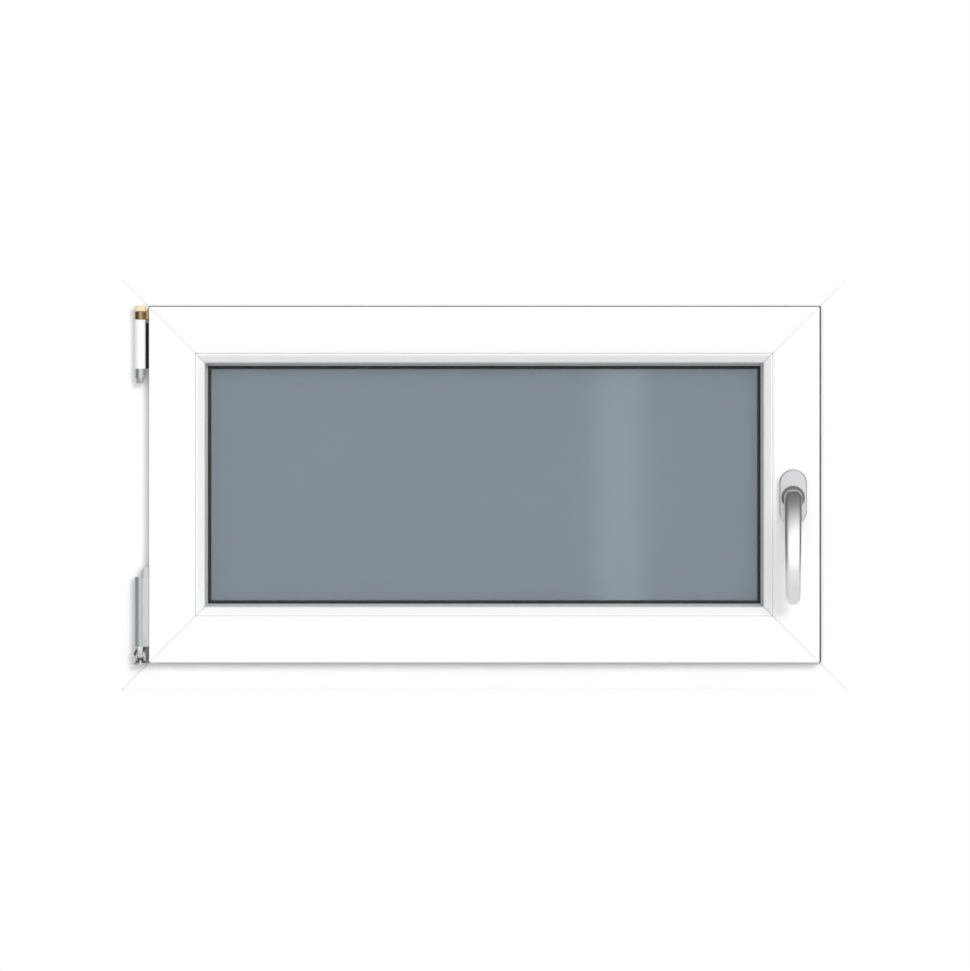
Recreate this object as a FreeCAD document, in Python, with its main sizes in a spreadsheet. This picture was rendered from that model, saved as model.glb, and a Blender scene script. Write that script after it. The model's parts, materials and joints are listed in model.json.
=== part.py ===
"""White plastic tilt-and-turn window: fixed frame, inward-opening sash, hinges, handle and drive gear.

+X is to the right seen from the room, +Y is towards the outside and +Z is up. The origin is the middle of
the frame's bottom face. Profile sections are drawn as (depth, reach): depth is measured outwards from the
frame's room face, and reach inwards from the window's outer edge on whichever side the bar is.
"""
import FreeCAD, Part
import os
import re
import Sketcher

os.makedirs("parts", exist_ok=True)
doc = FreeCAD.newDocument("TiltTurnWindow")

SIZES = {
    # the whole window
    "width": 900, "height": 509, "frame_depth": 70,
    # frame profile
    "frame_face": 40.3, "stop_gap": 4, "stop_reach": 66, "wall": 3, "web": 2, "ease": 1,
    "front_web": 14, "back_web": 48, "steel_play": 1, "steel_wall": 2, "steel_stop": 47,
    # sash profile
    "sash_edge": 33.5, "sash_proud": 18, "overlap_gap": 3.5, "rebate_edge": 52.3, "step_front": 21,
    "step_back": 24, "back_edge": 57, "leg_thick": 12, "face_end": 88.1, "lip_edge": 91.3, "lip_drop": 1.6,
    "bead_seat": 13, "platform": 86.8, "leg_edge": 103, "glass_web_back": 2.5,
    "chamber_front": 18, "groove_wall": 2.7, "corner_chamber": 60,
    # hardware groove of the sash
    "groove_mid": 9.5, "recess_half": 8.1, "recess_play": 0.5, "groove_half": 6, "groove_floor": 63.3,
    "plate_half": 8, "plate_thick": 2.5, "hidden_play": 0.1,
    # glazing
    "bead_play": 0.3, "bead_back": 8.4, "bead_edge": 104, "bead_slope_front": 93.5, "bead_slope_back": 5,
    "bead_nose": 16, "bead_wall": 2.2, "bead_rise": 7.5, "glass_front": 12, "pane": 4, "glass_gap": 16,
    "glass_edge": 91.8, "sealant_edge": 102.5, "spacer_edge": 111, "daylight": 106.8,
    "gasket_foot": 97, "block_length": 80, "block_front": 11, "block_back": 37, "block_spread": 230,
    "outer_gasket_foot": 95, "outer_gasket_tip": 105, "outer_gasket_lip": 1.5, "outer_gasket_thick": 4,
    # weather gaskets
    "stop_gasket_low": 58, "stop_gasket_high": 65, "stop_gasket_play": 0.3, "stop_gasket_heel": 3,
    "lip_low": 34, "lip_high": 39, "lip_clear": 1.2, "lip_heel": 2.2, "lip_taper": 0.5,
    "lip_beside": 1.6, "lip_above": 0.9,
    # hinge axes
    "hinge_offset": 10.8, "hinge_depth": 10.5, "tilt_height": 42, "shaft_play": 0.05, "pin_radius": 3,
    # corner bearing and its swivel
    "cup_radius": 8.9, "seat_low": 31.2, "seat_thick": 2, "seat_play": 0.2, "cup_floor": 3.2,
    "cup_dome": 10.4, "ear_gap": 3.4, "lug_half": 3, "lug_radius": 5, "trunnion_half": 8.2,
    "bearing_plate": 1.4, "bearing_arm": 5, "bearing_plate_top": 52, "bearing_leaf": 3,
    "bearing_leaf_play": 0.2, "bearing_leaf_depth": 35, "bearing_leaf_low": 42, "bearing_leaf_top": 100,
    # sash hinge
    "leaf_low": 53.4, "leaf_high": 140, "leaf_barrel": 7, "leaf_groove_left": 0.2, "leaf_groove_right": 1.7,
    "leaf_groove_depth": 1.6, "leaf_front": 6, "leaf_gap": 0.3, "leaf_step_top": 152, "leaf_step_inset": 4,
    "leaf_depth": 17, "adjuster_radius": 1.8, "adjuster_depth": 3, "adjuster_height": 60,
    "adjuster_offset": 5.6,
    # stay bearing on the frame
    "barrel_radius": 5.4,
    "sleeve_radius": 6.6, "foot_radius": 6.5, "knurl_radius": 5, "knurl_cut": 0.7, "knurl_count": 16,
    "stay_arm_half": 4.2, "stay_leaf_depth": 34,
    "cap_radius": 7.2, "cap_rim": 1.2, "pin_into_cap": 4,
    # stay arm
    "knuckle_radius": 6.8, "arm_plate_front": 3.4, "arm_plate_back": 0.9, "arm_thick": 3,
    "arm_side_play": 0.5, "arm_root": 13,
    "stay_reach": 250, "stay_tip": 7, "stud_radius": 3, "stud_end": 60.5, "stud_slot_half": 5,
    "stud_slot_back": 13, "stud_slot_front": 8,
    # handle
    "handle_height": 238.6, "rosette_width": 34, "rosette_height": 70, "rosette_lift": 1.7,
    "rosette_round": 16.5, "rosette_thick": 11, "rosette_shell": 2, "base_thick": 7, "base_play": 0.4,
    "base_height": 58, "base_shoulder": 22.8, "base_waist": 9, "fixing_half": 21.5,
    "neck_radius": 9, "neck_play": 0.05, "collar_radius": 14.5,
    "collar_thick": 3, "lever_back": 55, "lever_front": 69, "lever_head": 11.2, "lever_tip": 9.1,
    "lever_length": 124.6, "spindle_side": 7, "spindle_play": 0.1, "spindle_into_lever": 5,
    "screw_shank": 2.4, "screw_head": 4.6, "head_thick": 2.4,
    # gearbox, pinion and rack
    "box_half_height": 32, "box_end": 79, "box_front": 3.7, "box_back": 15.3, "box_wall": 1.3,
    "teeth": 16, "gear_module": 1.075, "tooth_base": 2.1, "tooth_tip": 0.75, "tooth_foot": 1.3,
    "tooth_head": 0.9, "pinion_half": 4.2, "hub_radius": 6, "hub_half": 5.7, "tooth_play": 0.3,
    "rod_front": 4.5, "rod_back": 14.5, "rod_thick": 1.6, "rack_half": 4,
    "rack_count": 17, "channel_play": 0.2,
    # drive rods and their cams
    "lock_rod_low": 148, "top_rod_left": 30, "bottom_rod_left": -40, "cam_low": 185, "top_cam_at": 150,
    "bottom_cam_at": 250, "cam_pin": 2.8, "cam_head": 4.4, "cam_tip": 43.8, "cam_neck": 46.3,
    "slot_play": 0.4, "cam_travel": 27.1,
    # face plates and corner drives
    "lock_plate_low": 110.3, "corner_end": 110, "strip_length": 26, "strip_thick": 1.2,
    "plate_screw_low": 118, "corner_screw": 100, "rail_screw_mid": 15, "bottom_screw_mid": -75,
    "groove_screw": 1.8, "groove_screw_head": 3.2, "groove_screw_end": 68, "groove_screw_head_thick": 1.5,
    # keeps on the frame
    "keep_thick": 2, "keep_front": 1, "keep_back": 20, "keep_lip": 2.4, "keep_lip_edge": 48.5,
    "keep_lip_near": 8, "keep_lip_far": 18, "keep_end": 28, "keep_screw_at": 23, "keep_screw_depth": 15,
    "keep_screw_reach": 22, "ramp_top": 51.6, "ramp_front": 3,
    "ramp_back": 17, "ramp_slope": 4,
    # hinge screws
    "bearing_screw_depth": 26, "bearing_screw_low": 60, "bearing_screw_high": 88,
    "bearing_screw_reach": 18, "leaf_screw_low": 72, "leaf_screw_high": 122,
    # wall fixing holes and drainage
    "fixing_radius": 3.75, "fixing_depth": 32, "fixing_spacing": 250, "drain_at": 300, "drain_half": 14,
    "drain_low": 10, "drain_high": 15, "drain_cap_half": 20, "drain_cap_low": 7, "drain_cap_high": 19,
    "drain_cap_thick": 3, "steel_back_off": 8,
}

# heights measured down from the window's top edge
BELOW_TOP = {
    "knurl_low": 128.5, "stay_foot": 122.3, "sleeve_low": 110.4, "sleeve_high": 49.4, "stay_leaf_top": 54,
    "cap_low": 38.9, "cap_high": 31.8, "knuckle_low": 49.1, "knuckle_high": 39.2, "arm_low": 49.8,
    "stay_screw_low": 101, "stay_screw_high": 65, "lock_rod_high": 131, "cam_high": 164,
    "lock_plate_high": 110.3, "top_corner_end": 110, "plate_screw_high": 120, "top_corner_screw": 100,
}

# places measured in from the window's left edge, and from its right edge
FROM_LEFT = {"rail_left": 55, "rail_screw_left": 80}
FROM_RIGHT = {
    "rail_right": 105, "corner_plate_left": 104.7, "rail_screw_right": 111, "top_rod_right": 145,
    "bottom_rod_right": 125, "ramp_left": 132, "ramp_right": 108,
}

# sizes that follow from others
DERIVED = {
    "leg_front": "glass_front + pane * 2 + glass_gap + outer_gasket_thick",
    "sash_back": "leg_front + leg_thick",
    "stop_front": "sash_back + stop_gap",
    "glass_web": "leg_front - glass_web_back",
    "rod_near": "rebate_edge + plate_thick + hidden_play",
    "recess_floor": "rebate_edge + plate_thick + recess_play",
    "pitch_radius": "teeth * gear_module / 2",
    "tooth_pitch": "3.14159265 * gear_module",
    "handle_reach": "rod_near + rod_thick + tooth_play + tooth_head + pitch_radius",
    "cavity_radius": "pitch_radius + tooth_head + tooth_play + hidden_play",
    "channel_end": "rod_near + rod_thick + tooth_head * 2 + tooth_foot - tooth_play",
    "steel_reach": "platform - wall",
    "hinge_x": "sash_edge - hinge_offset - width / 2",
    "hinge_y": "0 - hinge_depth - frame_depth / 2",
    "handle_x": "width / 2 - handle_reach",
}

sheet = doc.addObject("Spreadsheet::Sheet", "Sizes")
all_sizes = {**SIZES, **BELOW_TOP, **FROM_LEFT, **FROM_RIGHT}
for row, (size_name, size_value) in enumerate(all_sizes.items(), start=1):
    sheet.set(f"A{row}", size_name)
    sheet.set(f"B{row}", str(size_value))
    sheet.setAlias(f"B{row}", size_name)
doc.recompute()

WORD = re.compile(r"[a-z_]+")
NODES = []


def resolved(word):
    """What a size's name stands for in an expression; any other word stays as it is."""
    if word in SIZES:
        return f"Sizes.{word}"
    if word in BELOW_TOP:
        return f"(Sizes.height - Sizes.{word})"
    if word in FROM_LEFT:
        return f"(Sizes.{word} - Sizes.width / 2)"
    if word in FROM_RIGHT:
        return f"(Sizes.width / 2 - Sizes.{word})"
    if word in DERIVED:
        return f"({bound(DERIVED[word])})"
    return word


def bound(expression):
    """The expression with every size's name pointing at the sheet."""
    return WORD.sub(lambda word: resolved(word[0]), expression)


def amount(expression):
    """What the expression is worth with the sheet's present sizes."""
    return float(sheet.evalExpression(bound(expression)))


def deep(depth):
    """The Y of a depth measured outwards from the frame's room face."""
    return f"({depth}) - frame_depth / 2"


def right(reach):
    """The X of a reach measured inwards from the window's right edge."""
    return f"width / 2 - ({reach})"


def left(reach):
    """The X of a reach measured inwards from the window's left edge."""
    return f"({reach}) - width / 2"


def top(reach):
    """The Z of a reach measured down from the window's top edge."""
    return f"height - ({reach})"


def node(thing, label):
    """Name a finished sub-part and keep it for export."""
    thing.Label = label
    NODES.append(thing)
    return thing


# ---------------------------------------------------------------- shapes from primitives

def place(thing, x, y, z, rotation=None):
    """Put a shape at a point given by expressions, turned first if a rotation is given."""
    if rotation is not None:
        thing.Placement = FreeCAD.Placement(FreeCAD.Vector(), rotation)
    thing.setExpression("Placement.Base.x", bound(x))
    thing.setExpression("Placement.Base.y", bound(y))
    thing.setExpression("Placement.Base.z", bound(z))
    return thing


def box(x, y, z):
    """A block between (low, high) pairs of expressions along X, Y and Z."""
    block = doc.addObject("Part::Box", "block")
    place(block, x[0], y[0], z[0])
    for side, span in (("Length", x), ("Width", y), ("Height", z)):
        block.setExpression(side, bound(f"({span[1]}) - ({span[0]})"))
    return block


TURN_TO = {
    "x": FreeCAD.Rotation(FreeCAD.Vector(0, 1, 0), 90),
    "y": FreeCAD.Rotation(FreeCAD.Vector(1, 0, 0), -90),
    "z": FreeCAD.Rotation(),
}


def along(axis, centre, span):
    """The start point of a round shape whose axis runs along X, Y or Z from span[0]."""
    first, second = centre
    return {"x": (span[0], first, second), "y": (first, span[0], second), "z": (first, second, span[0])}[axis]


def rod(axis, centre, radius, span):
    """A cylinder along an axis: centre holds its two other coordinates, span its two ends."""
    bar = doc.addObject("Part::Cylinder", "bar")
    place(bar, *along(axis, centre, span), TURN_TO[axis])
    bar.setExpression("Radius", bound(radius))
    bar.setExpression("Height", bound(f"({span[1]}) - ({span[0]})"))
    return bar


def cone(axis, centre, radii, span):
    """A cone along an axis with its first radius at span[0]."""
    taper = doc.addObject("Part::Cone", "taper")
    place(taper, *along(axis, centre, span), TURN_TO[axis])
    taper.setExpression("Radius1", bound(radii[0]))
    taper.setExpression("Radius2", bound(radii[1]))
    taper.setExpression("Height", bound(f"({span[1]}) - ({span[0]})"))
    return taper


def ball(centre, radius):
    """A sphere."""
    globe = doc.addObject("Part::Sphere", "globe")
    place(globe, *centre)
    globe.setExpression("Radius", bound(radius))
    return globe


def fuse(*things):
    """All the shapes joined into one."""
    if len(things) == 1:
        return things[0]
    joined = doc.addObject("Part::MultiFuse", "joined")
    joined.Shapes = list(things)
    joined.Refine = True
    return joined


def cut(base, *tools):
    """The base with the tools taken out of it."""
    rest = doc.addObject("Part::Cut", "rest")
    rest.Base = base
    rest.Tool = fuse(*tools)
    rest.Refine = True
    return rest


def common(first, second):
    """What two shapes share."""
    shared = doc.addObject("Part::Common", "shared")
    shared.Base = first
    shared.Tool = second
    return shared


def group(things):
    """Separate solids kept together as one sub-part."""
    bundle = doc.addObject("Part::Compound", "bundle")
    bundle.Links = list(things)
    return bundle


# ---------------------------------------------------------------- shapes from sketches

def origin_plane(body, role):
    """One of the body's own origin planes."""
    return [feature for feature in body.Origin.OriginFeatures if feature.Role == role][0]


def new_sketch(body, plane, name):
    """A sketch on one of the body's origin planes."""
    sketch = body.newObject("Sketcher::SketchObject", name)
    sketch.AttachmentSupport = (origin_plane(body, plane), [""])
    sketch.MapMode = "FlatFace"
    return sketch


def outline(sketch, points):
    """A closed polygon whose corners are (expression, expression) pairs, each held by two dimensions."""
    corners = [FreeCAD.Vector(amount(across), amount(up), 0) for across, up in points]
    first = sketch.GeometryCount
    count = len(corners)
    for index in range(count):
        sketch.addGeometry(Part.LineSegment(corners[index], corners[(index + 1) % count]))
    for index in range(count):
        following = first + (index + 1) % count
        sketch.addConstraint(Sketcher.Constraint("Coincident", first + index, 2, following, 1))
    for index, point in enumerate(points):
        for kind, expression in zip(("DistanceX", "DistanceY"), point):
            held = Sketcher.Constraint(kind, -1, 1, first + index, 1, amount(expression))
            number = sketch.addConstraint(held)
            sketch.setExpression(f"Constraints[{number}]", bound(expression))


def section(points):
    """A profile's (depth, reach) points as (Y, Z) points of a bar lying along X."""
    return [(deep(depth), reach) for depth, reach in points]


def pad(body, sketch, length):
    """The sketch thickened evenly to both sides."""
    block = body.newObject("PartDesign::Pad", "pad")
    block.Profile = sketch
    block.SideType = "Symmetric"
    block.setExpression("Length", bound(length))
    return block


SIDES = {
    "sill": ("width", FreeCAD.Rotation(), ("0", "0", "0")),
    "head": ("width", FreeCAD.Rotation(FreeCAD.Vector(0, 1, 0), 180), ("0", "0", "height")),
    "lock": ("height", FreeCAD.Rotation(FreeCAD.Vector(0, 1, 0), -90), ("width / 2", "0", "height / 2")),
    "hinge": ("height", FreeCAD.Rotation(FreeCAD.Vector(0, 1, 0), 90), ("0 - width / 2", "0", "height / 2")),
}


def mitred_bar(name, side, outlines):
    """A profile bar for one side of the window, sawn at 45 degrees at both ends.

    The section is padded along X to the window's full length. At a reach r the saw leaves the bar
    r shorter at each end, so bars of the same section on all four sides meet on the diagonals.
    """
    length, rotation, corner = SIDES[side]
    body = doc.addObject("PartDesign::Body", name)
    profile = new_sketch(body, "YZ_Plane", "section")
    for points in outlines:
        outline(profile, section(points))
    pad(body, profile, length)
    saw = new_sketch(body, "XZ_Plane", "saw")
    past = "(outer_gasket_tip + frame_face)"
    for sign in ("", "-"):
        outline(saw, [(f"{sign}({length} / 2 + wall)", "-wall"),
                      (f"{sign}({length} / 2 - {past})", past),
                      (f"{sign}({length} / 2 + wall)", past)])
    mitre = body.newObject("PartDesign::Pocket", "mitre")
    mitre.Profile = saw
    mitre.SideType = "Symmetric"
    mitre.setExpression("Length", bound("frame_depth * 4"))
    place(body, *corner, rotation)
    return body


def ring(name, points, reach):
    """A profile swept round a rectangle at the given reach, with square corners."""
    body = doc.addObject("PartDesign::Body", name)
    profile = new_sketch(body, "YZ_Plane", "section")
    outline(profile, section(points))
    path = new_sketch(body, "XZ_Plane", "path")
    outline(path, [("0", reach), (right(reach), reach), (right(reach), top(reach)),
                   (left(reach), top(reach)), (left(reach), reach)])
    doc.recompute()
    sweep = body.newObject("PartDesign::AdditivePipe", "sweep")
    sweep.Profile = profile
    sweep.Spine = (path, [f"Edge{number + 1}" for number in range(5)])
    sweep.Transition = "Right corner"
    return body


# ---------------------------------------------------------------- screws

def screw(axis, centre, head_at, tip_at, shank, head, thick):
    """A countersunk screw: the head's wide face lies at head_at and the shank ends at tip_at."""
    forward = amount(f"({tip_at}) - ({head_at})") > 0
    neck = f"({head_at}) + ({thick})" if forward else f"({head_at}) - ({thick})"
    if forward:
        top_part = cone(axis, centre, (head, shank), (head_at, neck))
        body = rod(axis, centre, shank, (neck, tip_at))
    else:
        top_part = cone(axis, centre, (shank, head), (neck, head_at))
        body = rod(axis, centre, shank, (tip_at, neck))
    return fuse(top_part, body)


def groove_screw(side, at):
    """A screw through a face plate into the floor of the sash's hardware groove."""
    middle = deep("groove_mid")
    turned = {"lock": ("x", (middle, at), right), "head": ("z", (at, middle), top),
              "sill": ("z", (at, middle), lambda reach: reach), "hinge": ("x", (middle, at), left)}
    axis, centre, reach_to = turned[side]
    return screw(axis, centre, reach_to("rebate_edge"), reach_to("groove_screw_end"), "groove_screw",
                 "groove_screw_head", "groove_screw_head_thick")


# ---------------------------------------------------------------- frame

FRAME_SECTION = [
    [("0", "0"), ("frame_depth", "0"), ("frame_depth", "stop_reach"), ("stop_front", "stop_reach"),
     ("stop_front", "frame_face"), ("ease", "frame_face"), ("0", "frame_face - ease")],
    [("wall", "wall"), ("front_web", "wall"), ("front_web", "frame_face - wall"),
     ("wall", "frame_face - wall")],
    [("front_web + web", "wall"), ("back_web", "wall"), ("back_web", "frame_face - wall"),
     ("front_web + web", "frame_face - wall")],
    [("back_web + web", "wall"), ("frame_depth - wall", "wall"),
     ("frame_depth - wall", "stop_reach - wall"), ("stop_front + wall", "stop_reach - wall"),
     ("stop_front + wall", "frame_face - wall"), ("back_web + web", "frame_face - wall")],
]

SASH_SECTION = [
    [("ease - sash_proud", "sash_edge"), ("-sash_proud", "sash_edge + ease"), ("-sash_proud", "face_end"),
     ("lip_drop - sash_proud", "lip_edge"), ("-bead_seat", "lip_edge"), ("-bead_seat", "platform"),
     ("leg_front", "platform"), ("leg_front", "leg_edge"), ("sash_back", "leg_edge"),
     ("sash_back", "back_edge"), ("step_back", "back_edge"), ("step_front", "rebate_edge"),
     ("groove_mid + recess_half", "rebate_edge"), ("groove_mid + recess_half", "recess_floor"),
     ("groove_mid + groove_half", "recess_floor"), ("groove_mid + groove_half", "groove_floor"),
     ("groove_mid - groove_half", "groove_floor"), ("groove_mid - groove_half", "recess_floor"),
     ("groove_mid - recess_half", "recess_floor"), ("groove_mid - recess_half", "rebate_edge"),
     ("-overlap_gap", "rebate_edge"), ("-overlap_gap", "sash_edge")],
    [("wall - sash_proud", "sash_edge + wall"), ("-overlap_gap - wall", "sash_edge + wall"),
     ("-overlap_gap - wall", "steel_reach"), ("wall - sash_proud", "steel_reach")],
    [("-overlap_gap", "groove_floor + groove_wall"), ("chamber_front - web", "groove_floor + groove_wall"),
     ("chamber_front - web", "steel_reach"), ("-overlap_gap", "steel_reach")],
    [("chamber_front", "groove_floor + groove_wall"), ("glass_web", "groove_floor + groove_wall"),
     ("glass_web", "steel_reach"), ("chamber_front", "steel_reach")],
    [("glass_web + web", "corner_chamber"), ("sash_back - wall", "corner_chamber"),
     ("sash_back - wall", "leg_edge - wall"), ("leg_front + wall", "leg_edge - wall"),
     ("leg_front + wall", "steel_reach"), ("glass_web + web", "steel_reach")],
]

BEAD_SECTION = [
    [("-bead_nose", "lip_edge + bead_play"), ("-bead_nose", "bead_slope_front"),
     ("bead_slope_back", "bead_edge"), ("bead_back", "bead_edge"), ("bead_back", "platform + bead_play"),
     ("bead_play - bead_seat", "platform + bead_play"), ("bead_play - bead_seat", "lip_edge + bead_play")],
    [("bead_rise - bead_nose", "platform + bead_play + bead_wall"),
     ("bead_back - bead_wall", "platform + bead_play + bead_wall"),
     ("bead_back - bead_wall", "bead_edge - bead_wall - web"),
     ("bead_rise - bead_nose", "bead_slope_front + web / 2")],
]


def across_reach(side, at, depth, radius, low, high):
    """A round hole or bar that points inwards from one side of the window, between two reaches."""
    if side == "lock":
        return rod("x", (deep(depth), at), radius, (right(high), right(low)))
    if side == "hinge":
        return rod("x", (deep(depth), at), radius, (left(low), left(high)))
    if side == "head":
        return rod("z", (at, deep(depth)), radius, (top(high), top(low)))
    return rod("z", (at, deep(depth)), radius, (low, high))


def side_box(side, at, depths, reaches):
    """A block on one side of the window: at is its span along the side."""
    ys = (deep(depths[0]), deep(depths[1]))
    if side == "lock":
        return box((right(reaches[1]), right(reaches[0])), ys, at)
    if side == "hinge":
        return box((left(reaches[0]), left(reaches[1])), ys, at)
    if side == "head":
        return box(at, ys, (top(reaches[1]), top(reaches[0])))
    return box(at, ys, reaches)


def keep_spots():
    """Each keep's side of the frame, its cam's rest place and the way the cam travels from it."""
    return [("lock", "cam_low", -1), ("lock", "cam_high", -1), ("head", "top_cam_at", 1),
            ("sill", "bottom_cam_at", -1)]


def offset(at, away, way):
    """A place along a side, moved by a distance in a direction of travel."""
    return f"({at}) + ({away})" if way > 0 else f"({at}) - ({away})"


def span(first, second):
    """Two expressions put in rising order."""
    return (first, second) if amount(first) < amount(second) else (second, first)


def keep(side, at, way):
    """A striker plate with a lip beyond each end of its cam's travel, and its two screw places."""
    ends = span(offset(at, "cam_travel + keep_end", way), offset(at, "keep_end", -way))
    parts = [side_box(side, ends, ("keep_front", "keep_back"), ("frame_face", "frame_face + keep_thick"))]
    for near, far, direction in (("keep_lip_near", "keep_lip_far", -way),
                                 ("cam_travel + keep_lip_near", "cam_travel + keep_lip_far", way)):
        lip = span(offset(at, near, direction), offset(at, far, direction))
        parts.append(side_box(side, lip, ("keep_front", "keep_front + keep_lip"),
                              ("frame_face", "keep_lip_edge")))
    screws_at = (offset(at, "cam_travel + keep_screw_at", way), offset(at, "keep_screw_at", -way))
    return fuse(*parts), screws_at


def keep_screw(side, at, radius_play="0"):
    """A screw through a keep into the frame's steel, or the hole for it when it has play."""
    reaches = {"lock": right, "head": top, "sill": lambda reach: reach}
    axis = "x" if side == "lock" else "z"
    middle = deep("keep_screw_depth + keep_thick * 2")
    centre = (middle, at) if side == "lock" else (at, middle)
    to = reaches[side]
    return screw(axis, centre, to("frame_face + keep_thick"), to("keep_screw_reach"),
                 f"groove_screw + {radius_play}", f"groove_screw_head + {radius_play}",
                 "groove_screw_head_thick")


def make_keeps():
    """Striker plates, the screws that hold them and the frame holes for those screws."""
    made = []
    screws = []
    holes = {"lock": [], "head": [], "sill": []}
    for side, at, way in keep_spots():
        plate, screws_at = keep(side, at, way)
        bores = [keep_screw(side, place_at, "shaft_play") for place_at in screws_at]
        made.append(cut(plate, *bores))
        holes[side] += bores
        screws += [keep_screw(side, place_at) for place_at in screws_at]
    node(group(made), "keeps")
    node(group(screws), "keep_screws")
    return holes


def hinge_screw(at, play="0"):
    """A screw through a frame hinge's rebate leaf, pointing left into the frame."""
    return screw("x", (deep("bearing_screw_depth"), at), left("frame_face + bearing_leaf"),
                 left("bearing_screw_reach"), f"screw_shank + {play}", f"screw_head + {play}", "head_thick")


def steel_tube(length, depth_span, reach_span):
    """A square steel tube lying along X, centred."""
    half = f"({length}) / 2"
    outer = box((f"-{half}", half), (deep(depth_span[0]), deep(depth_span[1])), reach_span)
    inner = box((f"-{half} - wall", f"{half} + wall"),
                (deep(f"{depth_span[0]} + steel_wall"), deep(f"{depth_span[1]} - steel_wall")),
                (f"{reach_span[0]} + steel_wall", f"{reach_span[1]} - steel_wall"))
    return cut(outer, inner)


def turned_to(side, thing):
    """A shape made along X, moved to one side of the window."""
    moved = group([thing])
    _, rotation, corner = SIDES[side]
    return place(moved, *corner, rotation)


def make_frame(keep_holes):
    """The four frame bars with their fixing holes, steels, gasket, drainage and caps."""
    screws_at = ("bearing_screw_low", "bearing_screw_high", "stay_screw_low", "stay_screw_high")
    bearing_bores = [hinge_screw(at, "shaft_play") for at in screws_at]
    node(group([hinge_screw(at) for at in screws_at]), "frame_hinge_screws")
    fixing = {}
    for side in ("lock", "hinge"):
        fixing[side] = [across_reach(side, f"height / 2 {sign} fixing_spacing / 2", "fixing_depth",
                                     "fixing_radius", "-wall", "frame_face + wall")
                        for sign in "-+"]
    drains = [side_box("sill", (f"{sign}drain_at - drain_half", f"{sign}drain_at + drain_half"),
                       ("frame_depth - wall * 2", "frame_depth + wall"), ("drain_low", "drain_high"))
              for sign in ("", "-")]
    cuts = {"head": keep_holes["head"], "sill": keep_holes["sill"] + drains,
            "lock": keep_holes["lock"] + fixing["lock"], "hinge": bearing_bores + fixing["hinge"]}
    labels = {"head": "frame_head", "sill": "frame_sill", "lock": "frame_lock_jamb",
              "hinge": "frame_hinge_jamb"}
    for side, label in labels.items():
        bar = mitred_bar(label + "_profile", side, FRAME_SECTION)
        node(cut(bar, *cuts[side]), label)
    steels = []
    for side, (length, _, _) in SIDES.items():
        tube = steel_tube(f"{length} - 2 * (frame_face + steel_back_off)",
                          ("front_web + web + steel_play", "steel_stop"),
                          ("wall + steel_play", "frame_face - wall - steel_play"))
        moved = turned_to(side, tube)
        bores = [bore for bore in cuts[side] if bore not in drains]
        steels.append(cut(moved, *bores))
    node(group(steels), "frame_steels")
    node(ring("frame_gasket_ring", [
        ("stop_front", "stop_gasket_low"), ("stop_front", "stop_gasket_high"),
        ("stop_front - stop_gasket_heel", "stop_gasket_high"),
        ("sash_back + stop_gasket_play", "stop_gasket_low / 2 + stop_gasket_high / 2"),
        ("stop_front - stop_gasket_heel", "stop_gasket_low")], "stop_gasket_low"), "frame_gasket")
    caps = [side_box("sill", (f"{sign}drain_at - drain_cap_half", f"{sign}drain_at + drain_cap_half"),
                     ("frame_depth", "frame_depth + drain_cap_thick"), ("drain_cap_low", "drain_cap_high"))
            for sign in ("", "-")]
    node(group(caps), "drain_caps")
    node(run_up_ramp(), "run_up_block")
    return bearing_bores


def run_up_ramp():
    """The block on the sill that lifts the closing sash: a wedge rising away from the room."""
    body = doc.addObject("PartDesign::Body", "ramp")
    sketch = new_sketch(body, "YZ_Plane", "wedge")
    outline(sketch, section([("ramp_front", "frame_face"), ("ramp_back", "frame_face"),
                             ("ramp_back", "ramp_top"), ("ramp_front + ramp_slope", "ramp_top"),
                             ("ramp_front", "ramp_top - ramp_slope")]))
    pad(body, sketch, "ramp_right - ramp_left")
    place(body, "(ramp_right + ramp_left) / 2", "0", "0")
    return body


# ---------------------------------------------------------------- hinges

def make_corner_bearing(bearing_bores):
    """Bottom hinge part on the frame: round seat with an upright pin, arm, plate and rebate leaf."""
    seat_top = "(seat_low + seat_thick)"
    seat = rod("z", ("hinge_x", "hinge_y"), "cup_radius", ("seat_low", seat_top))
    pin = rod("z", ("hinge_x", "hinge_y"), "pin_radius", ("seat_low", f"{seat_top} + seat_play + cup_floor"))
    arm = box(("hinge_x", left("sash_edge - leaf_gap")), (deep("-bearing_arm"), deep("0")),
              ("seat_low", seat_top))
    plate_span = (deep("-bearing_plate"), deep("0"))
    foot = box(("hinge_x", left("sash_edge + bearing_leaf")), plate_span, ("seat_low", seat_top))
    riser = box((left("sash_edge"), left("sash_edge + bearing_leaf")), plate_span,
                ("seat_low", "bearing_plate_top"))
    plate = box((left("sash_edge"), left("frame_face + bearing_leaf")), plate_span,
                ("sash_edge", "bearing_plate_top"))
    leaf = side_box("hinge", ("bearing_leaf_low", "bearing_leaf_top"),
                    ("bearing_leaf_play", "bearing_leaf_depth"), ("frame_face", "frame_face + bearing_leaf"))
    link = side_box("hinge", ("bearing_leaf_low", "bearing_plate_top"),
                    ("-bearing_plate", "bearing_leaf_play + wall"),
                    ("frame_face", "frame_face + bearing_leaf"))
    node(cut(fuse(seat, pin, arm, foot, riser, plate, leaf, link), *bearing_bores[:2]), "corner_bearing")


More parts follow.
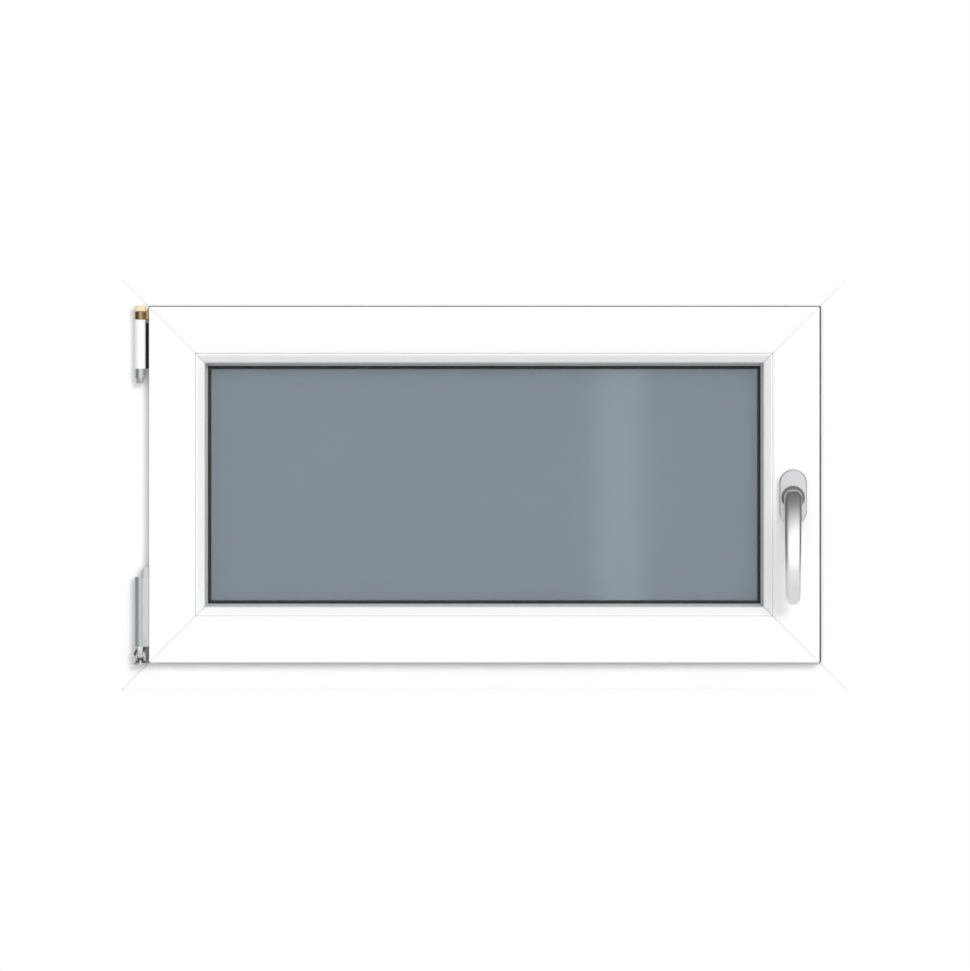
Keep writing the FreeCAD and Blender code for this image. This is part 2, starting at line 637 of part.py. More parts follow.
def make_pivot_cup():
    """Swivel that stands on the corner bearing's pin: a dome slit into two ears for the tilt pin."""
    low = "(seat_low + seat_thick + seat_play)"
    drum = rod("z", ("hinge_x", "hinge_y"), "cup_radius", (low, "tilt_height + cup_dome"))
    dome = common(drum, ball(("hinge_x", "hinge_y", "tilt_height"), "cup_dome"))
    slit = box(("hinge_x - ear_gap", "hinge_x + ear_gap"),
               ("hinge_y - cup_dome", "hinge_y + cup_dome"),
               (f"{low} + cup_floor", "tilt_height + cup_dome + wall"))
    foot_bore = rod("z", ("hinge_x", "hinge_y"), "pin_radius + shaft_play",
                    (f"{low} - wall", f"{low} + cup_floor"))
    ear_bore = rod("x", ("hinge_y", "tilt_height"), "pin_radius + shaft_play",
                   ("hinge_x - cup_dome", "hinge_x + cup_dome"))
    node(cut(dome, slit, foot_bore, ear_bore), "pivot_cup")


def make_sash_hinge():
    """Bottom hinge part on the sash: barrel, grooved leaf, plate behind the flange and tilt lug."""
    barrel = rod("z", ("hinge_x", "hinge_y"), "leaf_barrel", ("leaf_low", "leaf_high"))
    leaf_x = ("hinge_x", left("sash_edge - leaf_gap"))
    leaf = box(leaf_x, ("hinge_y - leaf_front", deep("-overlap_gap + plate_thick")),
               ("leaf_low", "leaf_high"))
    step = box(("hinge_x + leaf_step_inset", left("sash_edge - leaf_gap")),
               ("hinge_y - leaf_front + ease", deep("-overlap_gap + plate_thick")),
               ("leaf_high", "leaf_step_top"))
    plate = side_box("hinge", ("leaf_low", "leaf_high"), ("-overlap_gap", "-overlap_gap + plate_thick"),
                     ("sash_edge - hinge_offset", "rebate_edge"))
    fixing = side_box("hinge", ("leaf_low", "leaf_high"), ("-overlap_gap", "leaf_depth"),
                      ("rebate_edge - plate_thick", "rebate_edge"))
    lug = fuse(rod("x", ("hinge_y", "tilt_height"), "lug_radius",
                   ("hinge_x - lug_half", "hinge_x + lug_half")),
               box(("hinge_x - lug_half", "hinge_x + lug_half"),
                   ("hinge_y - lug_radius", "hinge_y + lug_radius"), ("tilt_height", "leaf_low")))
    groove = box(("hinge_x + leaf_groove_left", "hinge_x + leaf_groove_right"),
                 ("hinge_y - leaf_barrel - wall", "hinge_y - leaf_barrel + leaf_groove_depth"),
                 ("leaf_low - wall", "leaf_high + wall"))
    adjuster = rod("y", ("hinge_x + adjuster_offset", "adjuster_height"), "adjuster_radius",
                   ("hinge_y - leaf_barrel - wall", "hinge_y - leaf_front + adjuster_depth"))
    eye = rod("x", ("hinge_y", "tilt_height"), "pin_radius",
              ("hinge_x - cup_dome", "hinge_x + cup_dome"))
    screws_at = ("leaf_screw_low", "leaf_screw_high")
    bores = [sash_hinge_screw(at, "shaft_play") for at in screws_at]
    node(cut(fuse(barrel, leaf, step, plate, fixing, lug), groove, adjuster, eye, *bores), "sash_hinge")
    node(rod("x", ("hinge_y", "tilt_height"), "pin_radius",
             ("hinge_x - trunnion_half", "hinge_x + trunnion_half")), "tilt_pin")
    node(group([sash_hinge_screw(at) for at in screws_at]), "sash_hinge_screws")
    return bores


def sash_hinge_screw(at, play="0"):
    """A screw through the sash hinge's rebate leaf into the stile."""
    return screw("x", (deep("groove_mid"), at), left("rebate_edge - plate_thick"), left("groove_screw_end"),
                 f"screw_shank + {play}", f"screw_head + {play}", "head_thick")


def make_stay_bearing(bearing_bores):
    """Top hinge part on the frame: barrel on an arm, plate, rebate leaf, cover sleeve, pin and cap."""
    barrel = rod("z", ("hinge_x", "hinge_y"), "barrel_radius", ("stay_foot", "sleeve_high"))
    foot = rod("z", ("hinge_x", "hinge_y"), "foot_radius", ("stay_foot", "sleeve_low - hidden_play"))
    arm_x = ("hinge_x - stay_arm_half + hidden_play", "hinge_x + stay_arm_half - hidden_play")
    arm = box(arm_x, ("hinge_y", deep("0")), ("sleeve_low", "sleeve_high"))
    plate = box(("hinge_x", left("frame_face + bearing_leaf")), (deep("hidden_play - overlap_gap"), deep("0")),
                ("sleeve_low", "stay_leaf_top"))
    leaf = side_box("hinge", ("sleeve_low", "stay_leaf_top"),
                    ("hidden_play - overlap_gap", "stay_leaf_depth"),
                    ("frame_face", "frame_face + bearing_leaf"))
    bore = rod("z", ("hinge_x", "hinge_y"), "pin_radius", ("stay_foot - wall", "sleeve_high + wall"))
    node(cut(fuse(barrel, foot, arm, plate, leaf), bore, *bearing_bores[2:]), "stay_bearing")

    tube = cut(rod("z", ("hinge_x", "hinge_y"), "sleeve_radius", ("sleeve_low", "sleeve_high")),
               rod("z", ("hinge_x", "hinge_y"), "barrel_radius + shaft_play",
                   ("sleeve_low - wall", "sleeve_high + wall")),
               box(("hinge_x - stay_arm_half", "hinge_x + stay_arm_half"), ("hinge_y", deep("0")),
                   ("sleeve_low - wall", "sleeve_high + wall")),
               box(("hinge_x - wall", left("sash_edge")), (deep("-overlap_gap - wall"), deep("0")),
                   ("sleeve_low - wall", "sleeve_high + wall")))
    node(tube, "hinge_sleeve")

    head = rod("z", ("hinge_x", "hinge_y"), "knurl_radius", ("knurl_low", "stay_foot"))
    flutes = []
    for number in range(SIZES["knurl_count"]):
        turn = f"{number} * 360 / knurl_count"
        flutes.append(rod("z", (f"hinge_x + knurl_radius * cos({turn})",
                                f"hinge_y + knurl_radius * sin({turn})"),
                          "knurl_cut", ("knurl_low - wall", "stay_foot - ease")))
    shank = rod("z", ("hinge_x", "hinge_y"), "pin_radius", ("knurl_low", "cap_low + pin_into_cap"))
    node(fuse(cut(head, *flutes), shank), "stay_pin")
    cap = fuse(rod("z", ("hinge_x", "hinge_y"), "cap_radius", ("cap_low", "cap_high - cap_rim")),
               cone("z", ("hinge_x", "hinge_y"), ("cap_radius", "cap_radius - cap_rim"),
                    ("cap_high - cap_rim", "cap_high")))
    pin_hole = rod("z", ("hinge_x", "hinge_y"), "pin_radius", ("cap_low - wall", "cap_low + pin_into_cap"))
    node(cut(cap, pin_hole), "stay_cap")


def make_stay_arm():
    """The arm that holds the tilted sash: knuckle, plate behind the flange, flat bar and riveted stud."""
    knuckle = rod("z", ("hinge_x", "hinge_y"), "knuckle_radius", ("knuckle_low", "knuckle_high"))
    root_end = left("frame_face + arm_side_play + arm_root")
    plate = box(("hinge_x", root_end), (deep("-arm_plate_front"), deep("-arm_plate_back")),
                ("knuckle_low", "knuckle_high"))
    neck = box(("hinge_x - wall / 2", "hinge_x + wall"), ("hinge_y", deep("-arm_plate_back")),
               ("knuckle_low", "knuckle_high"))
    arm_high = "(arm_low + arm_thick)"
    bend = box((left("frame_face + arm_side_play"), root_end),
               (deep("-arm_plate_front"), deep("groove_mid + plate_half")), ("arm_low", arm_high))
    flat = box((left("frame_face + arm_side_play"), "hinge_x + stay_reach + stay_tip"),
               (deep("groove_mid - plate_half"), deep("groove_mid + plate_half")), ("arm_low", arm_high))
    stud_at = ("hinge_x + stay_reach", deep("groove_mid"))
    bore = rod("z", ("hinge_x", "hinge_y"), "pin_radius + shaft_play",
               ("knuckle_low - wall", "knuckle_high + wall"))
    rivet_hole = rod("z", stud_at, "stud_radius", ("arm_low", arm_high))
    node(cut(fuse(knuckle, plate, neck, bend, flat), bore, rivet_hole), "stay_arm")
    node(rod("z", stud_at, "stud_radius", (top("stud_end"), arm_high)), "stay_stud")


# ---------------------------------------------------------------- sash and glazing

def make_sash(hinge_bores, groove_screws, handle_bores):
    """The four sash bars with their milled pockets and screw holes, and the steels inside them."""
    gearbox_slot = side_box("lock", ("handle_height - box_half_height - hidden_play",
                                     "handle_height + box_half_height + hidden_play"),
                            ("box_front - hidden_play", "box_back + hidden_play"),
                            ("rebate_edge", "box_end + hidden_play"))
    cuts = {"sill": groove_screws["sill"], "head": groove_screws["head"],
            "lock": groove_screws["lock"] + [gearbox_slot] + handle_bores,
            "hinge": hinge_bores + groove_screws["hinge"]}
    labels = {"head": "sash_top_rail", "sill": "sash_bottom_rail", "lock": "sash_lock_stile",
              "hinge": "sash_hinge_stile"}
    for side, label in labels.items():
        bar = mitred_bar(label + "_profile", side, SASH_SECTION)
        node(cut(bar, *cuts[side]), label)
    steels = []
    for side, (length, _, _) in SIDES.items():
        tube = steel_tube(f"{length} - 2 * (platform + steel_back_off)",
                          ("chamber_front + steel_play / 2", "glass_web - steel_play / 2"),
                          ("groove_floor + groove_wall + steel_play / 2", "steel_reach - steel_play / 2"))
        steels.append(turned_to(side, tube))
    node(group(steels), "sash_steels")


def make_glazing():
    """Beads, two panes, spacer, edge sealant, gaskets and setting blocks."""
    labels = {"head": "bead_top", "sill": "bead_bottom", "lock": "bead_lock_side", "hinge": "bead_hinge_side"}
    for side, label in labels.items():
        node(mitred_bar(label + "_profile", side, BEAD_SECTION), label)
    back_pane = "(glass_front + pane + glass_gap)"
    glass_xz = (("glass_edge - width / 2", "width / 2 - glass_edge"), ("glass_edge", top("glass_edge")))
    for front, label in (("glass_front", "glass_inner"), (back_pane, "glass_outer")):
        pane = box(glass_xz[0], (deep(front), deep(f"{front} + pane")), glass_xz[1])
        node(pane, label)
    gap_front = "glass_front + pane"
    node(ring("spacer_ring", [(gap_front, "sealant_edge"), (back_pane, "sealant_edge"),
                              (back_pane, "spacer_edge"), (gap_front, "spacer_edge")],
              "sealant_edge"), "glass_spacer")
    node(ring("sealant_ring", [(gap_front, "glass_edge"), (back_pane, "glass_edge"),
                               (back_pane, "sealant_edge"), (gap_front, "sealant_edge")],
              "glass_edge"), "glass_sealant")
    node(ring("bead_gasket_ring", [("bead_back", "gasket_foot"), ("glass_front", "gasket_foot"),
                                   ("glass_front", "daylight"), ("glass_front - web", "daylight"),
                                   ("bead_back", "bead_edge")], "gasket_foot"), "bead_gasket")
    node(ring("outer_gasket_ring", [(f"{back_pane} + pane", "outer_gasket_foot"),
                                    ("leg_front", "outer_gasket_foot"), ("leg_front", "leg_edge"),
                                    ("leg_front - outer_gasket_lip", "outer_gasket_tip"),
                                    (f"{back_pane} + pane", "outer_gasket_tip")],
              "outer_gasket_foot"), "outer_glass_gasket")
    blocks = []
    for side, middle in (("sill", "-block_spread"), ("sill", "block_spread"), ("head", "-block_spread"),
                         ("head", "block_spread"), ("hinge", "height / 2"), ("lock", "height / 2")):
        ends = (f"{middle} - block_length / 2", f"{middle} + block_length / 2")
        blocks.append(side_box(side, ends, ("block_front", "block_back"), ("platform", "glass_edge")))
    node(group(blocks), "setting_blocks")
    lip = ring("overlap_ring", [("-overlap_gap", "lip_low"), ("-overlap_gap", "lip_high"),
                                ("-lip_heel", "lip_high - lip_taper"),
                                ("-lip_clear", "lip_low / 2 + lip_high / 2"),
                                ("-lip_heel", "lip_low + lip_taper")], "lip_low")
    lower_gap = box((left("0"), left("frame_face + bearing_leaf + ease")), (deep("-sash_proud"), deep("0")),
                    ("0", "leaf_high + ease"))
    upper_gap = box((left("0"), left("rebate_edge + wall")), (deep("-sash_proud"), deep("0")),
                    ("stay_foot", "height"))
    fin_depths = ("-overlap_gap", "-lip_heel")
    beside = side_box("lock", ("lip_low", top("sash_edge - lip_above")), fin_depths,
                      ("sash_edge - lip_beside", "lip_low + ease"))
    above = side_box("head", (left("sash_edge"), right("sash_edge - lip_beside")), fin_depths,
                     ("sash_edge - lip_above", "lip_low + ease"))
    node(fuse(cut(fuse(lip, beside), lower_gap, upper_gap), above), "overlap_gasket")


# ---------------------------------------------------------------- handle, gearbox and drive rods

def handle_slab(wide, tall, play):
    """A slab round the handle's axis, as thick as the base, larger all round by the play."""
    return box((f"handle_x - {wide} - {play}", f"handle_x + {wide} + {play}"),
               (deep(f"-sash_proud - base_thick - {play}"), deep("-sash_proud")),
               (f"handle_height - {tall} - {play}", f"handle_height + {tall} + {play}"))


def make_handle():
    """Lever with its neck, square spindle, collar, cover rosette and the base screwed under it."""
    axis_at = ("handle_x", "handle_height")
    face = "-sash_proud"
    rosette_front = f"({face} - rosette_thick)"
    half_wide = "rosette_width / 2"
    half_tall = "rosette_height / 2"
    middle = "(handle_height + rosette_lift)"
    depth_span = (deep(rosette_front), deep(face))
    bodies = [box((f"handle_x - {half_wide}", f"handle_x + {half_wide}"), depth_span,
                  (f"{middle} - {half_tall} + rosette_round",
                   f"{middle} + {half_tall} - rosette_round")),
              box((f"handle_x - {half_wide} + rosette_round", f"handle_x + {half_wide} - rosette_round"),
                  depth_span, (f"{middle} - {half_tall}", f"{middle} + {half_tall}"))]
    for across in "-+":
        for up in "-+":
            centre = (f"handle_x {across} ({half_wide} - rosette_round)",
                      f"{middle} {up} ({half_tall} - rosette_round)")
            bodies.append(rod("y", centre, "rosette_round", depth_span))
    halves = ((f"({half_wide} - rosette_shell - base_play)", "base_shoulder"),
              ("base_waist", "base_height / 2"))
    base = fuse(*[handle_slab(wide, tall, "0") for wide, tall in halves])
    room = fuse(*[handle_slab(wide, tall, "base_play") for wide, tall in halves])
    neck_hole = rod("y", axis_at, "neck_radius + neck_play", (deep(f"{rosette_front} - wall"), deep("0")))
    node(cut(fuse(*bodies), room, neck_hole), "rosette")
    bores = [handle_screw(sign, "shaft_play") for sign in "-+"]
    node(cut(base, neck_hole, *bores), "handle_base")
    node(group([handle_screw(sign) for sign in "-+"]), "handle_screws")

    collar = rod("y", axis_at, "collar_radius",
                 (deep(f"{rosette_front} - collar_thick"), deep(f"{rosette_front} - hidden_play")))
    node(cut(collar, rod("y", axis_at, "neck_radius",
                         (deep(f"{rosette_front} - wall * 2"), deep(rosette_front)))), "neck_ring")
    tip_at = ("handle_x", "handle_height - lever_length")
    lever_span = (deep("-lever_front"), deep("-lever_back"))
    shaft = doc.addObject("PartDesign::Body", "lever_shank")
    taper = new_sketch(shaft, "XZ_Plane", "taper")
    outline(taper, [("-lever_head", "0"), ("lever_head", "0"), ("lever_tip", "-lever_length"),
                    ("-lever_tip", "-lever_length")])
    pad(shaft, taper, "lever_front - lever_back")
    place(shaft, "handle_x", deep("-lever_front / 2 - lever_back / 2"), "handle_height")
    neck = rod("y", axis_at, "neck_radius", (deep("-lever_back - wall"), deep(f"{face} - hidden_play")))
    square = spindle_square("spindle_side", ("-lever_back - spindle_into_lever", "hub_half + groove_mid"))
    node(cut(fuse(shaft, neck, rod("y", axis_at, "lever_head", lever_span),
                  rod("y", tip_at, "lever_tip", lever_span)), square), "handle_lever")
    node(square, "spindle")
    spindle_hole = rod("y", axis_at, "hub_radius", (deep(f"{face} - wall"), deep("box_front - hidden_play")))
    return [spindle_hole] + [handle_screw(sign, "shaft_play") for sign in "-+"]


def handle_screw(sign, play="0"):
    """A screw through the handle's base and the sash into the gearbox."""
    centre = ("handle_x", f"handle_height {sign} fixing_half")
    return screw("y", centre, deep("-sash_proud - base_thick"), deep("box_back - box_wall"),
                 f"screw_shank + {play}", f"screw_head + {play}", "head_thick")


def spindle_square(side, depths):
    """A square bar along the handle's axis."""
    return box((f"handle_x - ({side}) / 2", f"handle_x + ({side}) / 2"),
               (deep(depths[0]), deep(depths[1])),
               (f"handle_height - ({side}) / 2", f"handle_height + ({side}) / 2"))


def make_pinion():
    """Toothed wheel on the spindle: a root disc, one tooth repeated round it, and a bored hub."""
    root = "(pitch_radius - tooth_foot)"
    tip = "(pitch_radius + tooth_head)"
    body = doc.addObject("PartDesign::Body", "wheel")
    tooth = new_sketch(body, "XZ_Plane", "tooth")
    outline(tooth, [(f"{root} - ease", "-tooth_base / 2"), (root, "-tooth_base / 2"),
                    (tip, "-tooth_tip / 2"), (tip, "tooth_tip / 2"), (root, "tooth_base / 2"),
                    (f"{root} - ease", "tooth_base / 2")])
    first = pad(body, tooth, "pinion_half * 2")
    disc = new_sketch(body, "XZ_Plane", "disc")
    number = disc.addGeometry(Part.Circle(FreeCAD.Vector(), FreeCAD.Vector(0, 0, 1), amount(root)))
    disc.addConstraint(Sketcher.Constraint("Coincident", number, 3, -1, 1))
    held = disc.addConstraint(Sketcher.Constraint("Radius", number, amount(root)))
    disc.setExpression(f"Constraints[{held}]", bound(root))
    pad(body, disc, "pinion_half * 2")
    doc.recompute()
    round_teeth = body.newObject("PartDesign::PolarPattern", "teeth")
    round_teeth.Originals = [first]
    round_teeth.Axis = (tooth, ["N_Axis"])
    round_teeth.Angle = 360
    round_teeth.setExpression("Occurrences", bound("teeth"))
    body.Tip = round_teeth
    place(body, "handle_x", deep("groove_mid"), "handle_height")
    hub = rod("y", ("handle_x", "handle_height"), "hub_radius",
              (deep("groove_mid - hub_half"), deep("groove_mid + hub_half")))
    hole = spindle_square("spindle_side + spindle_play",
                          ("groove_mid - hub_half - wall", "groove_mid + hub_half + wall"))
    node(cut(fuse(body, hub), hole), "gear_pinion")


def make_gearbox():
    """Housing round the pinion, with a channel for the toothed rod and threads for the handle screws."""
    shell = side_box("lock", ("handle_height - box_half_height", "handle_height + box_half_height"),
                     ("box_front", "box_back"), ("rod_near - hidden_play", "box_end"))
    axis_at = ("handle_x", "handle_height")
    cavity = rod("y", axis_at, "cavity_radius", (deep("box_front + box_wall"), deep("box_back - box_wall")))
    hub_bore = rod("y", axis_at, "hub_radius + shaft_play",
                   (deep("box_front - wall"), deep("box_back + wall")))
    channel = side_box("lock", ("handle_height - box_half_height - wall",
                                "handle_height + box_half_height + wall"),
                       ("rod_front - channel_play", "rod_back + channel_play"),
                       ("rod_near - wall", "channel_end"))
    bores = [handle_screw(sign) for sign in "-+"]
    node(cut(shell, cavity, hub_bore, channel, *bores), "gearbox")


def cam(side, at):
    """A mushroom cam riveted through a drive rod."""
    pin = across_reach(side, at, "groove_mid", "cam_pin", "cam_neck", "rod_near + rod_thick")
    head = across_reach(side, at, "groove_mid", "cam_head", "cam_tip", "cam_neck")
    return fuse(head, pin)


def drive_rod(side, ends, cams_at, extra=None):
    """A flat drive rod with a hole for each cam's pin."""
    strip = side_box(side, ends, ("rod_front", "rod_back"), ("rod_near", "rod_near + rod_thick"))
    holes = [across_reach(side, at, "groove_mid", "cam_pin", "rod_near - wall", "rod_near + rod_thick + ease")
             for at in cams_at]
    whole = fuse(strip, extra) if extra else strip
    return cut(whole, *holes)


def make_rack():
    """The lock side's rack: one tooth repeated in a row.

    Its pitch line touches the pinion's pitch circle, and it stands half a tooth out of step with it.
    """
    rack = doc.addObject("PartDesign::Body", "rack")
    tooth = new_sketch(rack, "XZ_Plane", "tooth")
    foot = "(tooth_foot + ease / 2)"
    base = "tooth_base / 2"
    first_at = "(tooth_pitch * (rack_count - 1) / 2)"
    outline(tooth, [(foot, f"-{first_at} - {base}"), ("-tooth_head", f"-{first_at} - tooth_tip / 2"),
                    ("-tooth_head", f"-{first_at} + tooth_tip / 2"), (foot, f"-{first_at} + {base}")])
    first = pad(rack, tooth, "rack_half * 2")
    doc.recompute()
    row_of_teeth = rack.newObject("PartDesign::LinearPattern", "teeth")
    row_of_teeth.Originals = [first]
    row_of_teeth.Direction = (tooth, ["V_Axis"])
    row_of_teeth.setExpression("Length", bound("tooth_pitch * (rack_count - 1)"))
    row_of_teeth.setExpression("Occurrences", bound("rack_count"))
    rack.Tip = row_of_teeth
    return place(rack, "handle_x + pitch_radius", deep("groove_mid"), "handle_height + tooth_pitch / 2")


def make_drive():
    """The three drive rods and their cams; the lock side's rod carries the rack."""
    lock_cams_at = ("cam_low", "cam_high")
    node(drive_rod("lock", ("lock_rod_low", "lock_rod_high"), lock_cams_at, make_rack()), "lock_rod")
    node(group([cam("lock", at) for at in lock_cams_at]), "lock_cams")
    node(drive_rod("head", ("top_rod_left", "top_rod_right"), ("top_cam_at",)), "top_rod")
    node(cam("head", "top_cam_at"), "top_cam")
    node(drive_rod("sill", ("bottom_rod_left", "bottom_rod_right"), ("bottom_cam_at",)), "bottom_rod")
    node(cam("sill", "bottom_cam_at"), "bottom_cam")


# ---------------------------------------------------------------- face plates

def cam_slot(side, at, way):
    """The slot that a cam's pin runs in."""
    ends = span(offset(at, "cam_travel + cam_pin + slot_play", way), offset(at, "cam_pin + slot_play", -way))
    half = "(cam_pin + slot_play)"
    return side_box(side, ends, (f"groove_mid - {half}", f"groove_mid + {half}"),
                    ("rebate_edge - wall", "rod_near"))


def face_plate(side, ends):
    """A flat plate that closes the hardware groove."""
    return side_box(side, ends, ("groove_mid - plate_half", "groove_mid + plate_half"),
                    ("rebate_edge", "rebate_edge + plate_thick"))


def corner_strip(rail_side, level):
    """The thin spring strip that runs round a corner inside a corner drive."""
    start = f"{level} - strip_thick"
    along_stile = {"sill": (start, "groove_floor + strip_length"),
                   "head": (top("groove_floor + strip_length"), top(start))}[rail_side]
    along_rail = (right("groove_floor + strip_length"), right(start))
    reaches = (start, level)
    depths = ("rod_front", "rod_back")
    upright = side_box("lock", along_stile, depths, reaches)
    flat = side_box(rail_side, along_rail, depths, reaches)
    return fuse(upright, flat)


def make_plates():
    """Face plates, corner drives with their strips, the stay rail and all their screws."""
    places = {
        "lock": [("lock", at) for at in ("plate_screw_low", "plate_screw_high", "corner_screw",
                                         "top_corner_screw")],
        "head": [("head", at) for at in ("rail_screw_left", "rail_screw_mid", "rail_screw_right")],
        "sill": [("sill", at) for at in ("rail_screw_left", "bottom_screw_mid", "rail_screw_right")],
        "hinge": [],
    }
    bores = {side: [groove_screw(*spot) for spot in spots] for side, spots in places.items()}
    lock_bores = bores["lock"]
    node(cut(face_plate("lock", ("lock_plate_low", "lock_plate_high")), cam_slot("lock", "cam_low", -1),
             cam_slot("lock", "cam_high", -1), *lock_bores[:2]), "lock_faceplate")
    stud_slot = side_box("head", ("hinge_x + stay_reach - stud_slot_back",
                                  "hinge_x + stay_reach + stud_slot_front"),
                         ("groove_mid - stud_slot_half", "groove_mid + stud_slot_half"),
                         ("rebate_edge - wall", "groove_floor"))
    node(cut(face_plate("head", ("rail_left", "rail_right")), stud_slot, cam_slot("head", "top_cam_at", 1),
             *bores["head"]), "stay_rail")
    node(cut(face_plate("sill", ("rail_left", "rail_right")), cam_slot("sill", "bottom_cam_at", -1),
             *bores["sill"]), "bottom_faceplate")
    corner_x = ("corner_plate_left", right("rebate_edge"))
    lower = fuse(face_plate("lock", ("rebate_edge", "corner_end")), face_plate("sill", corner_x))
    upper = fuse(face_plate("lock", ("top_corner_end", top("rebate_edge"))), face_plate("head", corner_x))
    node(group([cut(lower, lock_bores[2]), cut(upper, lock_bores[3])]), "corner_drives")
    strips = [corner_strip(side, "groove_floor - ease") for side in ("sill", "head")]
    node(group(strips), "corner_strips")
    screws = [groove_screw(*spot) for spots in places.values() for spot in spots]
    node(group(screws), "faceplate_screws")
    return bores


# ---------------------------------------------------------------- the whole window

def build():
    """Make every sub-part."""
    keep_holes = make_keeps()
    bearing_bores = make_frame(keep_holes)
    make_corner_bearing(bearing_bores)
    make_pivot_cup()
    hinge_bores = make_sash_hinge()
    make_stay_bearing(bearing_bores)
    make_stay_arm()
    handle_bores = make_handle()
    groove_screws = make_plates()
    make_sash(hinge_bores, groove_screws, handle_bores)
    make_glazing()
    make_pinion()
    make_gearbox()
    make_drive()


def check_and_export():
    """Refuse any broken object, then write one STEP file for each sub-part."""
    doc.recompute()
    for thing in doc.Objects:
        states = [state for state in thing.State if state in ("Invalid", "Error")]
        if states:
            raise ValueError(f"{thing.Label} ({thing.Name}) is {states}")
    for thing in NODES:
        if thing.Shape.isNull() or not thing.Shape.isValid() or not thing.Shape.Solids:
            raise ValueError(f"{thing.Label} has no valid solid")
    for thing in NODES:
        thing.Shape.exportStep(f"parts/{thing.Label}.step")
    print(f"{len(NODES)} sub-parts written")


build()
check_and_export()
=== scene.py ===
"""Looks of a small white tilt-and-turn window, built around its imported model.

The profile bars, gaskets and handle are surfaces worked out with numpy. The metal fittings are merged
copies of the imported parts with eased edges. Everything is given in millimetres and stored in metres:
X runs along the window, Y away from the room and Z up. A profile's own two directions are depth, counted
from the fixed frame's room face, and reach, counted inwards from the window's outer edge.
"""

import json
import logging
import math
from dataclasses import dataclass, field
from enum import Enum

import bmesh
import bpy
import numpy as np
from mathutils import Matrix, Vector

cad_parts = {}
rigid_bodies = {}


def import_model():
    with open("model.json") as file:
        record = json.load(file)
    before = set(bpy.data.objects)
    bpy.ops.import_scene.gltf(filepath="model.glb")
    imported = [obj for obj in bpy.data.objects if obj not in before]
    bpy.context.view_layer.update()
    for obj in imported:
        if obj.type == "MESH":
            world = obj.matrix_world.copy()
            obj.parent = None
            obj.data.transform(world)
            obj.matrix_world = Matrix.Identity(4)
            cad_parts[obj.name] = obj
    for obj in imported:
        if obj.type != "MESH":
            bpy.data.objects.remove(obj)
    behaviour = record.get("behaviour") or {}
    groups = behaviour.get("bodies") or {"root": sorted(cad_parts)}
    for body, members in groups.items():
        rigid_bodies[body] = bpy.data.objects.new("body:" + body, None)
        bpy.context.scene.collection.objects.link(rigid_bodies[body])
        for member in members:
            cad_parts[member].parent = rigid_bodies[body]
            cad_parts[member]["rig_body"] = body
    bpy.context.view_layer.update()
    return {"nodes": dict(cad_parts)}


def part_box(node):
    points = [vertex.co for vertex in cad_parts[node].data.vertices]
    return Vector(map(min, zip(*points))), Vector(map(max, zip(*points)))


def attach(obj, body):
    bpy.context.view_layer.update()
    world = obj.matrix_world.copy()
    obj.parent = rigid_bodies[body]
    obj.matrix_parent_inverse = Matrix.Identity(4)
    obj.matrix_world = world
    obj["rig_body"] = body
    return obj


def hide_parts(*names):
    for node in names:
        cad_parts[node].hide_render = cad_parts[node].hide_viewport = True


LOG = logging.getLogger("window")
MM = 0.001
# Edges sharper than this, in degrees, stay sharp.
SHARP_ANGLE = 32.0


# ---------------------------------------------------------------- helpers for shader nodes

def linear(code: str) -> tuple[float, float, float, float]:
    """Turns an sRGB hex colour to linear light.

    Args:
        code: six hex digits after a hash.

    Returns:
        Red, green, blue and an alpha of one.
    """
    shares = [int(code[at:at + 2], 16) / 255 for at in (1, 3, 5)]
    toned = [s / 12.92 if s <= 0.04045 else ((s + 0.055) / 1.055) ** 2.4 for s in shares]
    return (*toned, 1.0)


def add_node(tree: bpy.types.NodeTree, kind: str, settings: dict | None = None,
             inputs: dict | None = None) -> bpy.types.Node:
    """Adds one shader node with its settings and links.

    Args:
        tree: the node tree that gets it.
        kind: Blender's type name for the node.
        settings: attributes to set, by name.
        inputs: sockets to fill, by name or number, each with a value or with another node's output.

    Returns:
        The new node.
    """
    node = tree.nodes.new(kind)
    for word, value in (settings or {}).items():
        setattr(node, word, value)
    for socket, value in (inputs or {}).items():
        if isinstance(value, bpy.types.NodeSocket):
            tree.links.new(value, node.inputs[socket])
        else:
            node.inputs[socket].default_value = value
    return node


# ---------------------------------------------------------------- finishes

